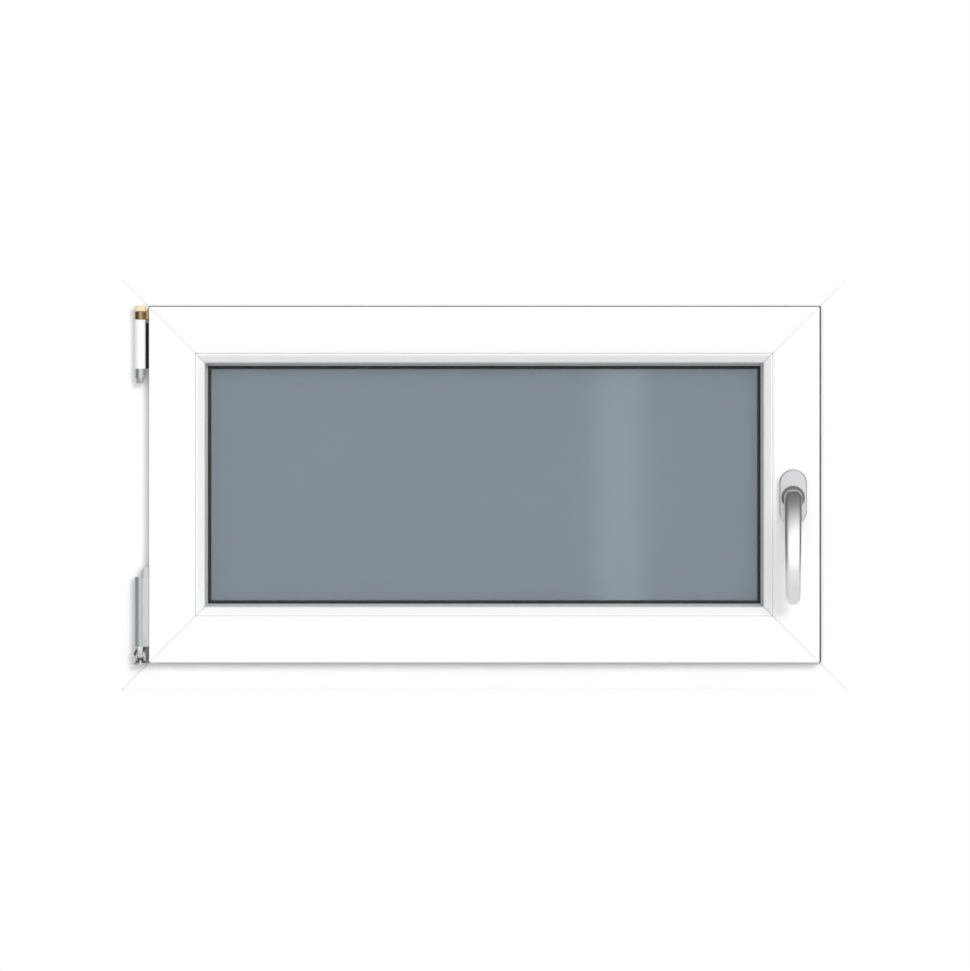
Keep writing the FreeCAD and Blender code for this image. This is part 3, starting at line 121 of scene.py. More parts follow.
@dataclass(frozen=True)
class Finish:
    """A real material with its surface: two close colours in soft patches, a grain and a gloss.

    Attributes:
        name: the material's name.
        colours: the usual colour and the one that the patches drift to, as sRGB hex.
        patch: size of the colour patches in mm.
        grain: size of the surface grain in mm.
        depth: height of the grain in mm.
        roughness: lowest and highest roughness over the grain.
        metallic: one for a metal.
        ior: refraction index of a non-metal; a metal keeps the usual one.
        run: how much longer than wide the pattern is along X, Y and Z.
        alpha: opacity.
        shine: specular level of a non-metal.
    """

    name: str
    colours: tuple[str, str]
    patch: float
    grain: float
    depth: float
    roughness: tuple[float, float]
    metallic: float = 0.0
    ior: float = 1.5
    run: tuple[float, float, float] = (1.0, 1.0, 1.0)
    alpha: float = 1.0
    shine: float = 0.5

    def material(self) -> bpy.types.Material:
        """Returns the finish's material and makes it at the first call."""
        found = bpy.data.materials.get(self.name)
        return found or self.make()

    def make(self) -> bpy.types.Material:
        """Builds the node tree: patches drive the colour, grain drives roughness and bump.

        Returns:
            The new material.
        """
        made = bpy.data.materials.new(self.name)
        made.use_nodes = True
        tree = made.node_tree
        tree.nodes.clear()
        where = add_node(tree, "ShaderNodeTexCoord")
        turned = add_node(tree, "ShaderNodeMapping", {}, {
            "Vector": where.outputs["Object"], "Scale": tuple(1 / along for along in self.run)})
        patches = add_node(tree, "ShaderNodeTexNoise", {}, {
            "Vector": turned.outputs["Vector"], "Scale": 1 / (self.patch * MM), "Detail": 3.0})
        colour = add_node(tree, "ShaderNodeMix", {"data_type": "RGBA"}, {
            "Factor": patches.outputs["Factor" if "Factor" in patches.outputs else "Fac"]})
        colour.inputs[6].default_value = linear(self.colours[0])
        colour.inputs[7].default_value = linear(self.colours[1])
        grain = add_node(tree, "ShaderNodeTexNoise", {}, {
            "Vector": turned.outputs["Vector"], "Scale": 1 / (self.grain * MM), "Detail": 2.0})
        level = grain.outputs["Factor" if "Factor" in grain.outputs else "Fac"]
        gloss = add_node(tree, "ShaderNodeMapRange", {}, {
            "Value": level, "To Min": self.roughness[0], "To Max": self.roughness[1]})
        bump = add_node(tree, "ShaderNodeBump", {}, {
            "Height": level, "Distance": self.depth * MM, "Strength": 1.0})
        shader = add_node(tree, "ShaderNodeBsdfPrincipled", {}, {
            "Base Color": colour.outputs[2], "Roughness": gloss.outputs["Result"],
            "Normal": bump.outputs["Normal"], "Metallic": self.metallic,
            "Alpha": self.alpha, "Specular IOR Level": self.shine})
        if not self.metallic:
            shader.inputs["IOR"].default_value = self.ior
        add_node(tree, "ShaderNodeOutputMaterial", {}, {"Surface": shader.outputs["BSDF"]})
        return made


@dataclass(frozen=True)
class ClearPane(Finish):
    """Float glass that lets light straight through and gains gloss at a glancing angle.

    Attributes:
        edge_on: opacity where the surface is seen edge-on.
    """

    edge_on: float = 0.6

    def make(self) -> bpy.types.Material:
        """Adds an opacity that rises towards the glancing angle.

        Returns:
            The new material.
        """
        made = super().make()
        tree = made.node_tree
        shader = next(node for node in tree.nodes if node.type == "BSDF_PRINCIPLED")
        glance = add_node(tree, "ShaderNodeLayerWeight", {}, {"Blend": 0.25})
        rise = add_node(tree, "ShaderNodeMapRange", {}, {
            "Value": glance.outputs["Facing"], "To Min": self.alpha, "To Max": self.edge_on})
        tree.links.new(rise.outputs["Result"], shader.inputs["Alpha"])
        return made


# Extruded rigid PVC: dead white, a soft gloss and hardly any texture.
WHITE_PVC = Finish("extruded_white_pvc", ("#f7f7f6", "#f3f4f4"), 90, 0.8, 0.004, (0.30, 0.38), ior=1.54)
# The beads are co-extruded from the same PVC and a touch cooler; they are drawn darker than the frame as
# painted shade for their slope towards the glass.
BEAD_PVC_PAINTED_SHADE = Finish("extruded_bead_pvc_painted_shade", ("#f1f2f2", "#edeeef"), 60, 0.8, 0.004, (0.28, 0.36), ior=1.54)
# Extruded sealing lip, thermoplastic rubber: mid grey and matt, with dusty patches.
GREY_RUBBER = Finish("extruded_grey_rubber", ("#a9acad", "#9b9fa0"), 14, 0.5, 0.02, (0.55, 0.7))
# Extruded EPDM rubber: near black, matt. Where its lip shows past the sash's lock side and top it is also
# painted shade, drawing the dark gap line there.
DARK_RUBBER_AND_SHADE_LINE = Finish("extruded_epdm_rubber_and_shade_line", ("#101112", "#18191b"), 12, 0.5, 0.02, (0.6, 0.75), shine=0.2)
# Warm-edge spacer, foil over plastic: black with a dull sheen.
BLACK_SPACER = Finish("warm_edge_spacer", ("#101213", "#16191a"), 8, 0.6, 0.01, (0.6, 0.75), shine=0.15)
# Polysulphide sealant pressed in by a gun: black and slightly lumpy.
SEALANT = Finish("polysulphide_sealant", ("#151617", "#1e1f20"), 6, 1.5, 0.08, (0.5, 0.7))
# Injection-moulded polypropylene blocks: dull blue-grey.
BLOCKS = Finish("moulded_polypropylene", ("#3c4348", "#454d52"), 10, 0.6, 0.02, (0.45, 0.6), ior=1.49)
# Injection-moulded ABS cover: cool white, glossier than the profile.
WHITE_ABS = Finish("moulded_white_abs", ("#f2f3f7", "#ecedf3"), 20, 0.6, 0.006, (0.22, 0.3), ior=1.53)
# Painted shade: near-black steel with a faint sheen, laid on the stay bearing's arm where the gap beside the
# sleeve lies in shadow.
STAY_GAP_PAINTED_SHADE = Finish("stay_gap_painted_shade_steel", ("#1b1a19", "#282623"), 5, 0.5, 0.02, (0.45, 0.6), shine=0.3)
# Moulded polyamide cap that has yellowed to cream.
CREAM_POLYAMIDE = Finish("moulded_cream_polyamide", ("#ecdcae", "#e2d1a2"), 4, 0.5, 0.01, (0.35, 0.5),
                         ior=1.53)
# Zinc die casting, blue passivated: cool grey with long cloudy streaks from the bath.
CAST_ZINC = Finish("passivated_zinc_casting", ("#d8dbdd", "#c2c7ca"), 3, 0.5, 0.02, (0.3, 0.5),
                   metallic=1.0, run=(1.0, 1.0, 6.0))
# The same casting tumbled and polished: bright, with small soft ripples.
POLISHED_ZINC = Finish("polished_zinc_casting", ("#dcdcd9", "#c9cac8"), 5, 1.0, 0.02, (0.08, 0.18),
                       metallic=1.0)
# Pressed steel with silver zinc plate: bright grey, slightly milky patches.
ZINC_PLATE = Finish("zinc_plated_steel", ("#c3c7c9", "#adb2b5"), 5, 0.4, 0.01, (0.25, 0.42), metallic=1.0)
# Steel with yellow chromate over the zinc: warm straw and brown clouds.
YELLOW_CHROMATE = Finish("yellow_chromated_steel", ("#b89d78", "#8d745a"), 4, 0.5, 0.01, (0.18, 0.32),
                         metallic=1.0)
# Hot-dip galvanised sheet: pale spangles of about 8 mm.
GALVANISED = Finish("hot_dip_galvanised_steel", ("#c2c6c8", "#a2a8ab"), 8, 2.0, 0.01, (0.35, 0.55),
                    metallic=1.0)
# Machined and plated screws.
SCREW_STEEL = Finish("plated_screw_steel", ("#c9c6bc", "#aeaca5"), 2, 0.3, 0.01, (0.22, 0.36), metallic=1.0)
# Cast aluminium, blasted and satin anodised. The blasting is finer than shows, so it is drawn at 0.4 mm.
SATIN_ALUMINIUM = Finish("satin_anodised_aluminium", ("#f9f9fa", "#f2f2f4"), 12, 0.4, 0.006,
                         (0.26, 0.34), metallic=1.0)
# Injection-moulded polyamide collar, matt; its mid grey is painted shade that stands for the dark rim round
# the lever's head.
COLLAR_PAINTED_SHADE = Finish("moulded_polyamide_collar_painted_shade", ("#6f7073", "#66676a"), 6, 0.5, 0.01, (0.4, 0.5), shine=0.3)
# The cover plate has the same coat over a coarser blasting, so it is duller.
MATT_ALUMINIUM = Finish("matt_anodised_aluminium", ("#e2e2e4", "#dadadd"), 12, 0.5, 0.012,
                        (0.42, 0.52), metallic=1.0)
# Clear float glass, drawn on a tin bath: flat, with a trace of green.
CLEAR_GLASS = ClearPane("clear_float_glass", ("#e6efec", "#e2ece9"), 120, 60, 0.002, (0.02, 0.03),
                        ior=1.52, alpha=0.04)
# Float glass with a sputtered metal coat: a grey-blue mirror, nearly closed by day and slightly uneven.
COATED_GLASS = ClearPane("solar_coated_float_glass", ("#66737f", "#6a7782"), 220, 80, 0.002,
                         (0.03, 0.05), metallic=0.5, alpha=0.94, edge_on=0.98)

SLOT_FINISH = {
    "white_plastic": WHITE_PVC, "bead_plastic": BEAD_PVC_PAINTED_SHADE, "galvanised_steel": GALVANISED,
    # dark_rubber also draws the painted shade line along the sash's lock side and top.
    "grey_rubber": GREY_RUBBER, "dark_rubber": DARK_RUBBER_AND_SHADE_LINE, "float_glass": CLEAR_GLASS,
    "black_spacer": BLACK_SPACER, "black_sealant": SEALANT, "block_plastic": BLOCKS,
    "white_cover": WHITE_ABS, "cream_cap": CREAM_POLYAMIDE, "zinc_die_casting": CAST_ZINC,
    "polished_zinc": POLISHED_ZINC, "zinc_plated_steel": ZINC_PLATE, "screw_steel": SCREW_STEEL,
    "satin_aluminium": SATIN_ALUMINIUM,
}


# ---------------------------------------------------------------- meshes worked out as arrays

def grid_faces(rows: int, columns: int, close_rows: bool, close_columns: bool,
               first: int = 0) -> np.ndarray:
    """Four-sided faces of a grid of points.

    Args:
        rows: number of rows of points.
        columns: number of points in a row.
        close_rows: joins the last row to the first.
        close_columns: joins each row's last point to its first.
        first: number of the grid's first point in the mesh.

    Returns:
        One row of four point numbers for each face.
    """
    row = np.arange(rows if close_rows else rows - 1)[:, None]
    column = np.arange(columns if close_columns else columns - 1)[None, :]
    after, beside = (row + 1) % rows, (column + 1) % columns
    corners = (row * columns + column, row * columns + beside,
               after * columns + beside, after * columns + column)
    return np.stack([np.broadcast_to(c, (row.size, column.size)) for c in corners], -1).reshape(-1, 4) + first


def piece(name: str, points: np.ndarray, faces: list, finish: Finish,
          smooth_angle: float = SHARP_ANGLE) -> bpy.types.Object:
    """Makes a closed mesh an object and turns its faces outwards.

    The sum of the signed volumes under the faces is negative where they point inwards, and then all
    are reversed.

    Args:
        name: the object's name.
        points: places in mm, one row each.
        faces: point numbers of each face.
        finish: the surface's finish.
        smooth_angle: edges sharper than this, in degrees, stay sharp.

    Returns:
        The new object.
    """
    places = np.asarray(points, float).reshape(-1, 3) * MM
    loops = [list(map(int, face)) for face in faces]
    volume = 0.0
    for face in loops:
        fan = places[face]
        volume += float((np.cross(fan[1:-1], fan[2:]) @ fan[0]).sum())
    if volume < 0:
        loops = [face[::-1] for face in loops]
    mesh = bpy.data.meshes.new(name)
    mesh.from_pydata(places.tolist(), [], loops)
    mesh.validate()
    mesh.polygons.foreach_set("use_smooth", np.ones(len(mesh.polygons), bool))
    mesh.set_sharp_from_angle(angle=math.radians(smooth_angle))
    mesh.materials.append(finish.material())
    made = bpy.data.objects.new(name, mesh)
    bpy.context.scene.collection.objects.link(made)
    return made


def settle(made: bpy.types.Object, body: str, slot: str, *nodes: str) -> bpy.types.Object:
    """Puts a piece on its body and in the place of its CAD nodes.

    Args:
        made: the piece.
        body: the body it rides on.
        slot: the record's material slot; not used.
        nodes: the CAD nodes that it stands for.

    Returns:
        The same piece.
    """
    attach(made, body)
    if nodes:
        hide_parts(*nodes)
    LOG.info("%s: %d faces on %s", made.name, len(made.data.polygons), body)
    return made


def rounded(corners: list[tuple[float, float, float]], steps: int = 5) -> np.ndarray:
    """A closed outline with eased corners.

    Each corner becomes a quadratic curve whose ends lie on its two sides, at the radius times the
    tangent of half the turn, which is where an arc of that radius would start.

    Args:
        corners: two coordinates and the radius of each corner in mm.
        steps: points on each eased corner.

    Returns:
        The outline's points, one row each.
    """
    table = np.array(corners, float)
    at, radius = table[:, :2], np.maximum(table[:, 2], 0.04)
    into, out = at - np.roll(at, 1, 0), np.roll(at, -1, 0) - at
    into /= np.linalg.norm(into, axis=1)[:, None]
    out /= np.linalg.norm(out, axis=1)[:, None]
    turn = np.arccos(np.clip((into * out).sum(1), -1, 1))
    tangent = (radius * np.tan(turn / 2))[:, None]
    share = np.linspace(0, 1, steps)[None, :, None]
    start, end = (at - into * tangent)[:, None], (at + out * tangent)[:, None]
    curve = (1 - share) ** 2 * start + 2 * share * (1 - share) * at[:, None] + share ** 2 * end
    return curve.reshape(-1, 2)


def inset(outline: np.ndarray, by: float) -> np.ndarray:
    """Moves a closed outline inwards.

    Every point moves along the mean of its two sides' normals, turned to the inside by the sign of
    the outline's area.

    Args:
        outline: points in order.
        by: distance in mm.

    Returns:
        The moved points.
    """
    ahead = np.roll(outline, -1, 0) - outline
    ahead /= np.linalg.norm(ahead, axis=1)[:, None]
    along = ahead + np.roll(ahead, 1, 0)
    along /= np.linalg.norm(along, axis=1)[:, None]
    after = np.roll(outline, -1, 0)
    area = (outline[:, 0] * after[:, 1] - outline[:, 1] * after[:, 0]).sum()
    normal = np.stack([-along[:, 1], along[:, 0]], 1) * math.copysign(1, area)
    return outline + normal * by


class Side(Enum):
    """The four sides of the window, each with the way its bar's own points are placed."""

    SILL = "sill"
    HEAD = "head"
    HINGE = "hinge"
    LOCK = "lock"

    def length(self, window: "Window") -> float:
        """Length of the window's outer edge on this side."""
        return window.width if self in (Side.SILL, Side.HEAD) else window.height

    def place(self, window: "Window", along: np.ndarray, depth: np.ndarray,
              reach: np.ndarray) -> np.ndarray:
        """Turns along, depth and reach to the window's X, Y and Z.

        Args:
            window: the window's sizes.
            along: distances from the side's middle.
            depth: distances from the frame's room face.
            reach: distances inwards from the outer edge.

        Returns:
            Points in mm, in the last axis.
        """
        y = depth + window.front
        half, middle = window.width / 2, window.height / 2
        xz = {Side.SILL: (along, reach), Side.HEAD: (along, window.height - reach),
              Side.HINGE: (reach - half, middle + along), Side.LOCK: (half - reach, middle + along)}[self]
        return np.stack([xz[0], y, xz[1]], -1)


@dataclass(frozen=True)
class Window:
    """The window's own box in mm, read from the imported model.

    Attributes:
        width: its size along X.
        height: its size along Z.
        front: the Y of the fixed frame's room face.
    """

    width: float
    height: float
    front: float

    @classmethod
    def read(cls) -> "Window":
        """Takes the sizes from the frame bars' boxes.

        Returns:
            The sizes.
        """
        low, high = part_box("frame_hinge_jamb")
        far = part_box("frame_lock_jamb")[1]
        return cls((far.x - low.x) / MM, (high.z - low.z) / MM, low.y / MM)


def bar(window: Window, name: str, side: Side, outline: np.ndarray, finish: Finish,
        groove: float, sink: float) -> bpy.types.Object:
    """A mitred profile bar: the outline carried along its side, with a fine groove at each mitre.

    Along the side the outline stands at plus and minus half the length less its reach, so its ends
    are cut at 45 degrees. The last ring is drawn in by the groove and closes the end.

    Args:
        window: the window's sizes.
        name: the piece's name.
        side: where the bar goes.
        outline: depth and reach of the profile's points.
        finish: its surface.
        groove: half the width of the mitre's groove in mm.
        sink: its depth.

    Returns:
        The bar.
    """
    small = inset(outline, sink)
    half = side.length(window) / 2
    rings = [side.place(window, sign * (half - shape[:, 1] - back), shape[:, 0], shape[:, 1])
             for sign, shape, back in ((-1, small, 0.0), (-1, outline, groove),
                                       (1, outline, groove), (1, small, 0.0))]
    count = len(outline)
    faces = list(grid_faces(len(rings), count, False, True))
    faces += [list(range(count))[::-1], list(range(3 * count, 4 * count))]
    return piece(name, np.concatenate(rings), faces, finish)


def gasket(window: Window, name: str, outline: np.ndarray, finish: Finish) -> bpy.types.Object:
    """A gasket running round all four sides: the outline at the four mitred corners, joined up.

    Args:
        window: the window's sizes.
        name: the piece's name.
        outline: depth and reach of the lip's points.
        finish: its surface.

    Returns:
        The gasket.
    """
    signs = np.array([(-1, -1), (1, -1), (1, 1), (-1, 1)])
    half = np.array([window.width / 2, window.height / 2])
    xz = signs[:, None, :] * (half - outline[None, :, 1:]) + (0, window.height / 2)
    y = np.broadcast_to(outline[None, :, :1] + window.front, xz[..., :1].shape)
    points = np.concatenate([xz[..., :1], y, xz[..., 1:]], -1)
    return piece(name, points, list(grid_faces(4, len(outline), True, True)), finish)


def tube(name: str, start: np.ndarray, end: np.ndarray, radius: float, sides: int = 40) -> bpy.types.Object:
    """A round cutter: a circle at each end, at right angles to the line between them.

    Args:
        name: the object's name.
        start: middle of one end in mm.
        end: middle of the other end.
        radius: its radius.
        sides: points on the circle.

    Returns:
        The cutter.
    """
    axis = (end - start) / np.linalg.norm(end - start)
    across = np.cross(axis, (0.3, 0.5, 0.8))
    across /= np.linalg.norm(across)
    up = np.cross(axis, across)
    angle = np.linspace(0, 2 * np.pi, sides, endpoint=False)[:, None]
    circle = radius * (np.cos(angle) * across + np.sin(angle) * up)
    faces = list(grid_faces(2, sides, False, True))
    faces += [list(range(sides)), list(range(sides, 2 * sides))[::-1]]
    return piece(name, np.concatenate([start + circle, end + circle]), faces, WHITE_PVC)


def block(name: str, low: tuple, high: tuple) -> bpy.types.Object:
    """A square cutter between two corners in mm.

    Args:
        name: the object's name.
        low: its lowest corner.
        high: its highest corner.

    Returns:
        The cutter.
    """
    x, y = np.array([0, 1, 1, 0]), np.array([0, 0, 1, 1])
    unit = np.concatenate([np.stack([x, y, np.full(4, level)], 1) for level in (0, 1)])
    faces = list(grid_faces(2, 4, False, True)) + [[0, 1, 2, 3], [7, 6, 5, 4]]
    return piece(name, np.array(low) + unit * (np.array(high) - np.array(low)), faces, WHITE_PVC)


def cut(made: bpy.types.Object, cutters: list[bpy.types.Object]) -> None:
    """Takes the cutters out of a piece and removes them.

    Args:
        made: the piece that is cut.
        cutters: closed meshes.
    """
    for cutter in cutters:
        step = made.modifiers.new("bore", "BOOLEAN")
        step.operation, step.solver, step.object = "DIFFERENCE", "EXACT", cutter
    bpy.context.view_layer.update()
    seen = made.evaluated_get(bpy.context.evaluated_depsgraph_get())
    fresh = bpy.data.meshes.new_from_object(seen)
    made.modifiers.clear()
    old, made.data = made.data, fresh
    fresh.name = made.name
    bpy.data.meshes.remove(old)
    for cutter in cutters:
        bpy.data.objects.remove(cutter)
    fresh.set_sharp_from_angle(angle=math.radians(SHARP_ANGLE))


# ---------------------------------------------------------------- frame, sash and glazing

@dataclass
class ProfileSet:
    """Four mitred bars of one profile.

    Attributes:
        window: the window's sizes.
        body: the body they ride on.
        slot: their material slot.
        finish: their surface.
        nodes: the CAD node of each side.
        corners: the profile's depth, reach and corner radius.
        groove: half the mitre groove's width in mm.
        sink: the mitre groove's depth in mm.
    """

    window: Window
    body: str
    slot: str
    finish: Finish
    nodes: dict[Side, str]
    corners: list[tuple[float, float, float]]
    groove: float = 0.55
    sink: float = 1.1
    made: dict[Side, bpy.types.Object] = field(default_factory=dict)

    def build(self) -> None:
        """Builds the four bars and puts them on their body."""
        outline = rounded(self.corners)
        for side, node in self.nodes.items():
            self.made[side] = bar(self.window, f"{node}_bar", side, outline, self.finish,
                                  self.groove, self.sink)
            self.mill(side)
            settle(self.made[side], self.body, self.slot, node)

    def mill(self, side: Side) -> None:
        """Cuts a bar's holes; a plain bar has none."""


@dataclass
class FixedFrame(ProfileSet):
    """The fixed frame: an L-shaped profile with two clip grooves in its outer edge.

    Attributes:
        hole_radius: radius of the wall fixings' holes in mm.
        hole_depth: their depth behind the room face.
        hole_spread: their distance above and below the middle.
        face: width of the frame's room face.
    """

    hole_radius: float = 3.75
    hole_depth: float = 32.0
    hole_spread: float = 125.0
    face: float = 40.3

    def mill(self, side: Side) -> None:
        """Drills the two wall fixings through each jamb."""
        if side in (Side.SILL, Side.HEAD):
            return
        cutters = []
        for along in (-self.hole_spread, self.hole_spread):
            ends = [side.place(self.window, np.array(along), np.array(self.hole_depth), np.array(reach))
                    for reach in (-1.0, self.face + 1.0)]
            cutters.append(tube(f"drill_{along:.0f}", *ends, self.hole_radius))
        cut(self.made[side], cutters)


@dataclass
class SashFrame(ProfileSet):
    """The sash: a profile that overlaps the frame, with a hardware groove round its edge.

    Attributes:
        pocket_play: room round the gearbox in mm.
        pocket_past: how far the pocket reaches past the face plate.
        bore_radius: radius of the spindle's bore.
        bore_front: the Y where the bore starts, just before the sash's room face.
        bore_back: the Y where it ends, inside the pocket.
    """

    pocket_play: float = 0.3
    pocket_past: float = 2.0
    bore_radius: float = 6.0
    bore_front: float = -54.0
    bore_back: float = -30.0

    def mill(self, side: Side) -> None:
        """Opens the lock stile for the gearbox and the spindle."""
        if side is not Side.LOCK:
            return
        low, high = (np.array(corner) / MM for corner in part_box("gearbox"))
        groove_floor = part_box("lock_faceplate")[0].x / MM
        pocket = block("pocket", tuple(low - self.pocket_play),
                       (groove_floor + self.pocket_past, high[1] + self.pocket_play,
                        high[2] + self.pocket_play))
        low, high = (np.array(corner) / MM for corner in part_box("spindle"))
        middle = (low + high) / 2
        bore = tube("spindle_bore", np.array([middle[0], self.bore_front, middle[2]]),
                    np.array([middle[0], self.bore_back, middle[2]]), self.bore_radius)
        cut(self.made[side], [pocket, bore])


@dataclass
class Glazing:
    """The frame's gasket, the two round the double glazing, and the finishes of the panes.

    Attributes:
        window: the window's sizes.
        nodes: the CAD nodes by name.
    """

    window: Window
    nodes: dict[str, bpy.types.Object]

    def build(self) -> None:
        """Builds the gaskets and dresses the glass."""
        for name, outline, body, node in (
                ("bead_gasket_lip", BEAD_GASKET, "sash", "bead_gasket"),
                ("outer_gasket_lip", OUTER_GASKET, "sash", "outer_glass_gasket"),
                ("frame_gasket_lip", FRAME_GASKET, "frame", "frame_gasket")):
            settle(gasket(self.window, name, rounded(outline), GREY_RUBBER), body, "grey_rubber", node)
        dress(self.nodes["glass_inner"], CLEAR_GLASS)
        dress(self.nodes["glass_outer"], COATED_GLASS)


# ---------------------------------------------------------------- handle

@dataclass
class Handle:
    """Lever handle: cover plate, collar and a bowed lever in one piece with its neck.

    Attributes:
        nodes: the CAD nodes by name.
        plate_hole: radius of the hole in the cover plate in mm.
        collar: outer radius of the collar.
        neck: radius of the neck where it enters the collar.
        head: radius of the lever's round head.
        tip: half the lever's width at its tip.
        thick: half the blade's thickness.
        lean: angle from level at which the blade starts, in degrees.
        past: how far past upright it ends, in degrees.
        settle_power: how early its direction settles; one is even.
        rounding: height over which the blade's depth is rounded off at its ends.
        squareness: the superellipse's exponent; two is an ellipse.
        stop_short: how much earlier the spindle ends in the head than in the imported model.
        chamfer: width of the spindle's chamfers.
        cap_points: points round each end of a plate.
        side_points: points along each straight side.
        face_rings: rings over a plate's face.
        rim_rings: rings round its rim.
        rows: rings along the blade.
        sides: points on a ring.
    """

    nodes: dict[str, bpy.types.Object]
    plate_hole: float = 9.3
    collar: float = 14.5
    neck: float = 8.9
    head: float = 11.2
    tip: float = 9.1
    thick: float = 5.2
    lean: float = 50.0
    past: float = 17.0
    settle_power: float = 1.2
    rounding: float = 4.0
    squareness: float = 3.0
    stop_short: float = 19.0
    chamfer: float = 0.6
    cap_points: int = 40
    side_points: int = 12
    face_rings: int = 10
    rim_rings: int = 8
    rows: int = 110
    sides: int = 64

    def axis(self) -> np.ndarray:
        """Middle of the spindle, which the handle turns about, as X and Z in mm."""
        low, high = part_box("spindle")
        middle = (np.array(low) + np.array(high)) / 2 / MM
        return middle[[0, 2]]

    def build(self) -> None:
        """Builds the three visible pieces and the bar that joins them to the lock."""
        settle(self.cover_plate(), "sash", "satin_aluminium", "rosette")
        settle(self.collar_ring(), "sash", "satin_aluminium", "neck_ring")
        settle(self.lever(), "handle", "satin_aluminium", "handle_lever")
        settle(self.square_bar(), "handle", "zinc_plated_steel", "spindle")

    def pierced_plate(self, name: str, node: str, hole: float, edge: float, crown: float,
                      finish: Finish) -> bpy.types.Object:
        """A plate with a round hole, a rounded rim and a slightly crowned face.

        The outline is a stadium: an upright line, its spine, and a circle's normal in every direction
        round it. The rings run down the hole, over the face to the rim, round the rim by a quarter
        ellipse and down its side; the first and last ring are joined by the underside.

        Args:
            name: the piece's name.
            node: the CAD node whose box it fills.
            hole: the hole's radius in mm.
            edge: width and height of the rounded rim.
            crown: how much higher the face is at the hole than at the rim.
            finish: its surface.

        Returns:
            The plate.
        """
        low, high = (np.array(corner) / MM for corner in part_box(node))
        axis = self.axis()
        half_wide, half_high = (high[0] - low[0]) / 2, (high[2] - low[2]) / 2
        straight = max(half_high - half_wide, 0.0)
        cap = np.linspace(0, np.pi, self.cap_points)
        side = np.linspace(-1, 1, self.side_points + 2)[1:-1]
        still, over = np.zeros(self.side_points), np.ones(self.cap_points)
        angle = np.concatenate([cap, still + np.pi, cap + np.pi, still])
        spine_z = straight * np.concatenate([over, -side, -over, side])
        normal = np.stack([np.cos(angle), np.sin(angle)], 1)
        spine = axis + np.stack([np.zeros_like(spine_z), spine_z], 1)
        inside = spine + normal * (half_wide - edge)
        way = inside - axis
        inner = axis + hole * way / np.linalg.norm(way, axis=1)[:, None]
        share = np.linspace(0, 1, self.face_rings)[:, None, None]
        flat = inner[None] * (1 - share) + inside[None] * share
        bend = np.linspace(0, np.pi / 2, self.rim_rings + 1)[1:]
        curl = inside[None] + normal[None] * (edge * np.sin(bend))[:, None, None]
        xz = np.concatenate([inner[None], flat, curl, curl[-1:]])
        y = np.concatenate([[high[1]], low[1] + crown * share.ravel() ** 2,
                            low[1] + crown + edge * (1 - np.cos(bend)), [high[1]]])
        points = np.stack([xz[..., 0], np.broadcast_to(y[:, None], xz.shape[:2]), xz[..., 1]], -1)
        return piece(name, points, list(grid_faces(len(y), len(angle), True, True)), finish, 50)

    def cover_plate(self) -> bpy.types.Object:
        """The oval cover plate over the screwed base."""
        return self.pierced_plate("handle_cover_plate", "rosette", self.plate_hole, 2.0, 0.4, MATT_ALUMINIUM)

    def collar_ring(self) -> bpy.types.Object:
        """The low collar that the neck turns in."""
        # The collar's mid grey is painted shade for the dark rim round the lever's head.
        return self.pierced_plate("handle_collar", "neck_ring", self.plate_hole, 1.6, 0.2, COLLAR_PAINTED_SHADE)

    def lever(self) -> bpy.types.Object:
        """The lever: a blade hanging from a round neck, cast in one.

        The blade's rows run from its top to its tip. Its front is the running sum of the slope, whose
        angle goes from the lean at the top ever more slowly to just past upright at the tip. Each row
        is a superellipse. Its half width is a half circle's at the head and the tip with an even taper
        between them, and its half depth fades as a quarter circle over the rounding at both ends. The
        neck is a round bar whose front end lies on the blade's middle plane.

        Returns:
            The lever.
        """
        low, high = (np.array(corner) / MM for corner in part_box("handle_lever"))
        middle, level = self.axis()
        top, bottom = level + self.head, low[2]
        z = bottom + (top - bottom) * (0.5 + 0.5 * np.cos(np.linspace(0, np.pi, self.rows)))
        share = (top - z) / (top - bottom)
        end = math.radians(90 + self.past)
        slope = 1 / np.tan(end - (end - math.radians(self.lean)) * (1 - share) ** self.settle_power)
        front = np.concatenate([[0.0], np.cumsum((slope[1:] + slope[:-1]) / 2 * np.diff(z))])
        front += low[1] - front.min()
        taper = self.head + (self.tip - self.head) * np.clip((level - z) / (level - bottom), 0, 1)
        arch = np.sqrt(1 - np.clip((z - level) / self.head, 0, 1) ** 2)
        wide = np.maximum(taper * arch * self.round_off(z - bottom, self.tip), 0.1)
        deep = np.maximum(self.thick * self.round_off(top - z, self.rounding)
                          * self.round_off(z - bottom, self.rounding), 0.1)
        turn = np.linspace(0, 2 * np.pi, self.sides, endpoint=False)
        c, s = np.cos(turn), np.sin(turn)
        power = 2 / self.squareness
        blade = np.stack([middle + wide[:, None] * np.sign(c) * np.abs(c) ** power,
                          (front + self.thick)[:, None] + deep[:, None] * np.sign(s) * np.abs(s) ** power,
                          np.broadcast_to(z[:, None], (len(z), self.sides))], -1)
        back = np.stack([middle + self.neck * c, np.full(self.sides, high[1]), level - self.neck * s], 1)
        fore = back.copy()
        fore[:, 1] = np.interp(-fore[:, 2], -z, front + self.thick)
        neck = np.stack([back, fore])
        faces = self.lofted(len(z), 0) + self.lofted(2, blade.shape[0] * self.sides)
        points = np.concatenate([blade.reshape(-1, 3), neck.reshape(-1, 3)])
        return piece("handle_lever_cast", points, faces, SATIN_ALUMINIUM, 60)

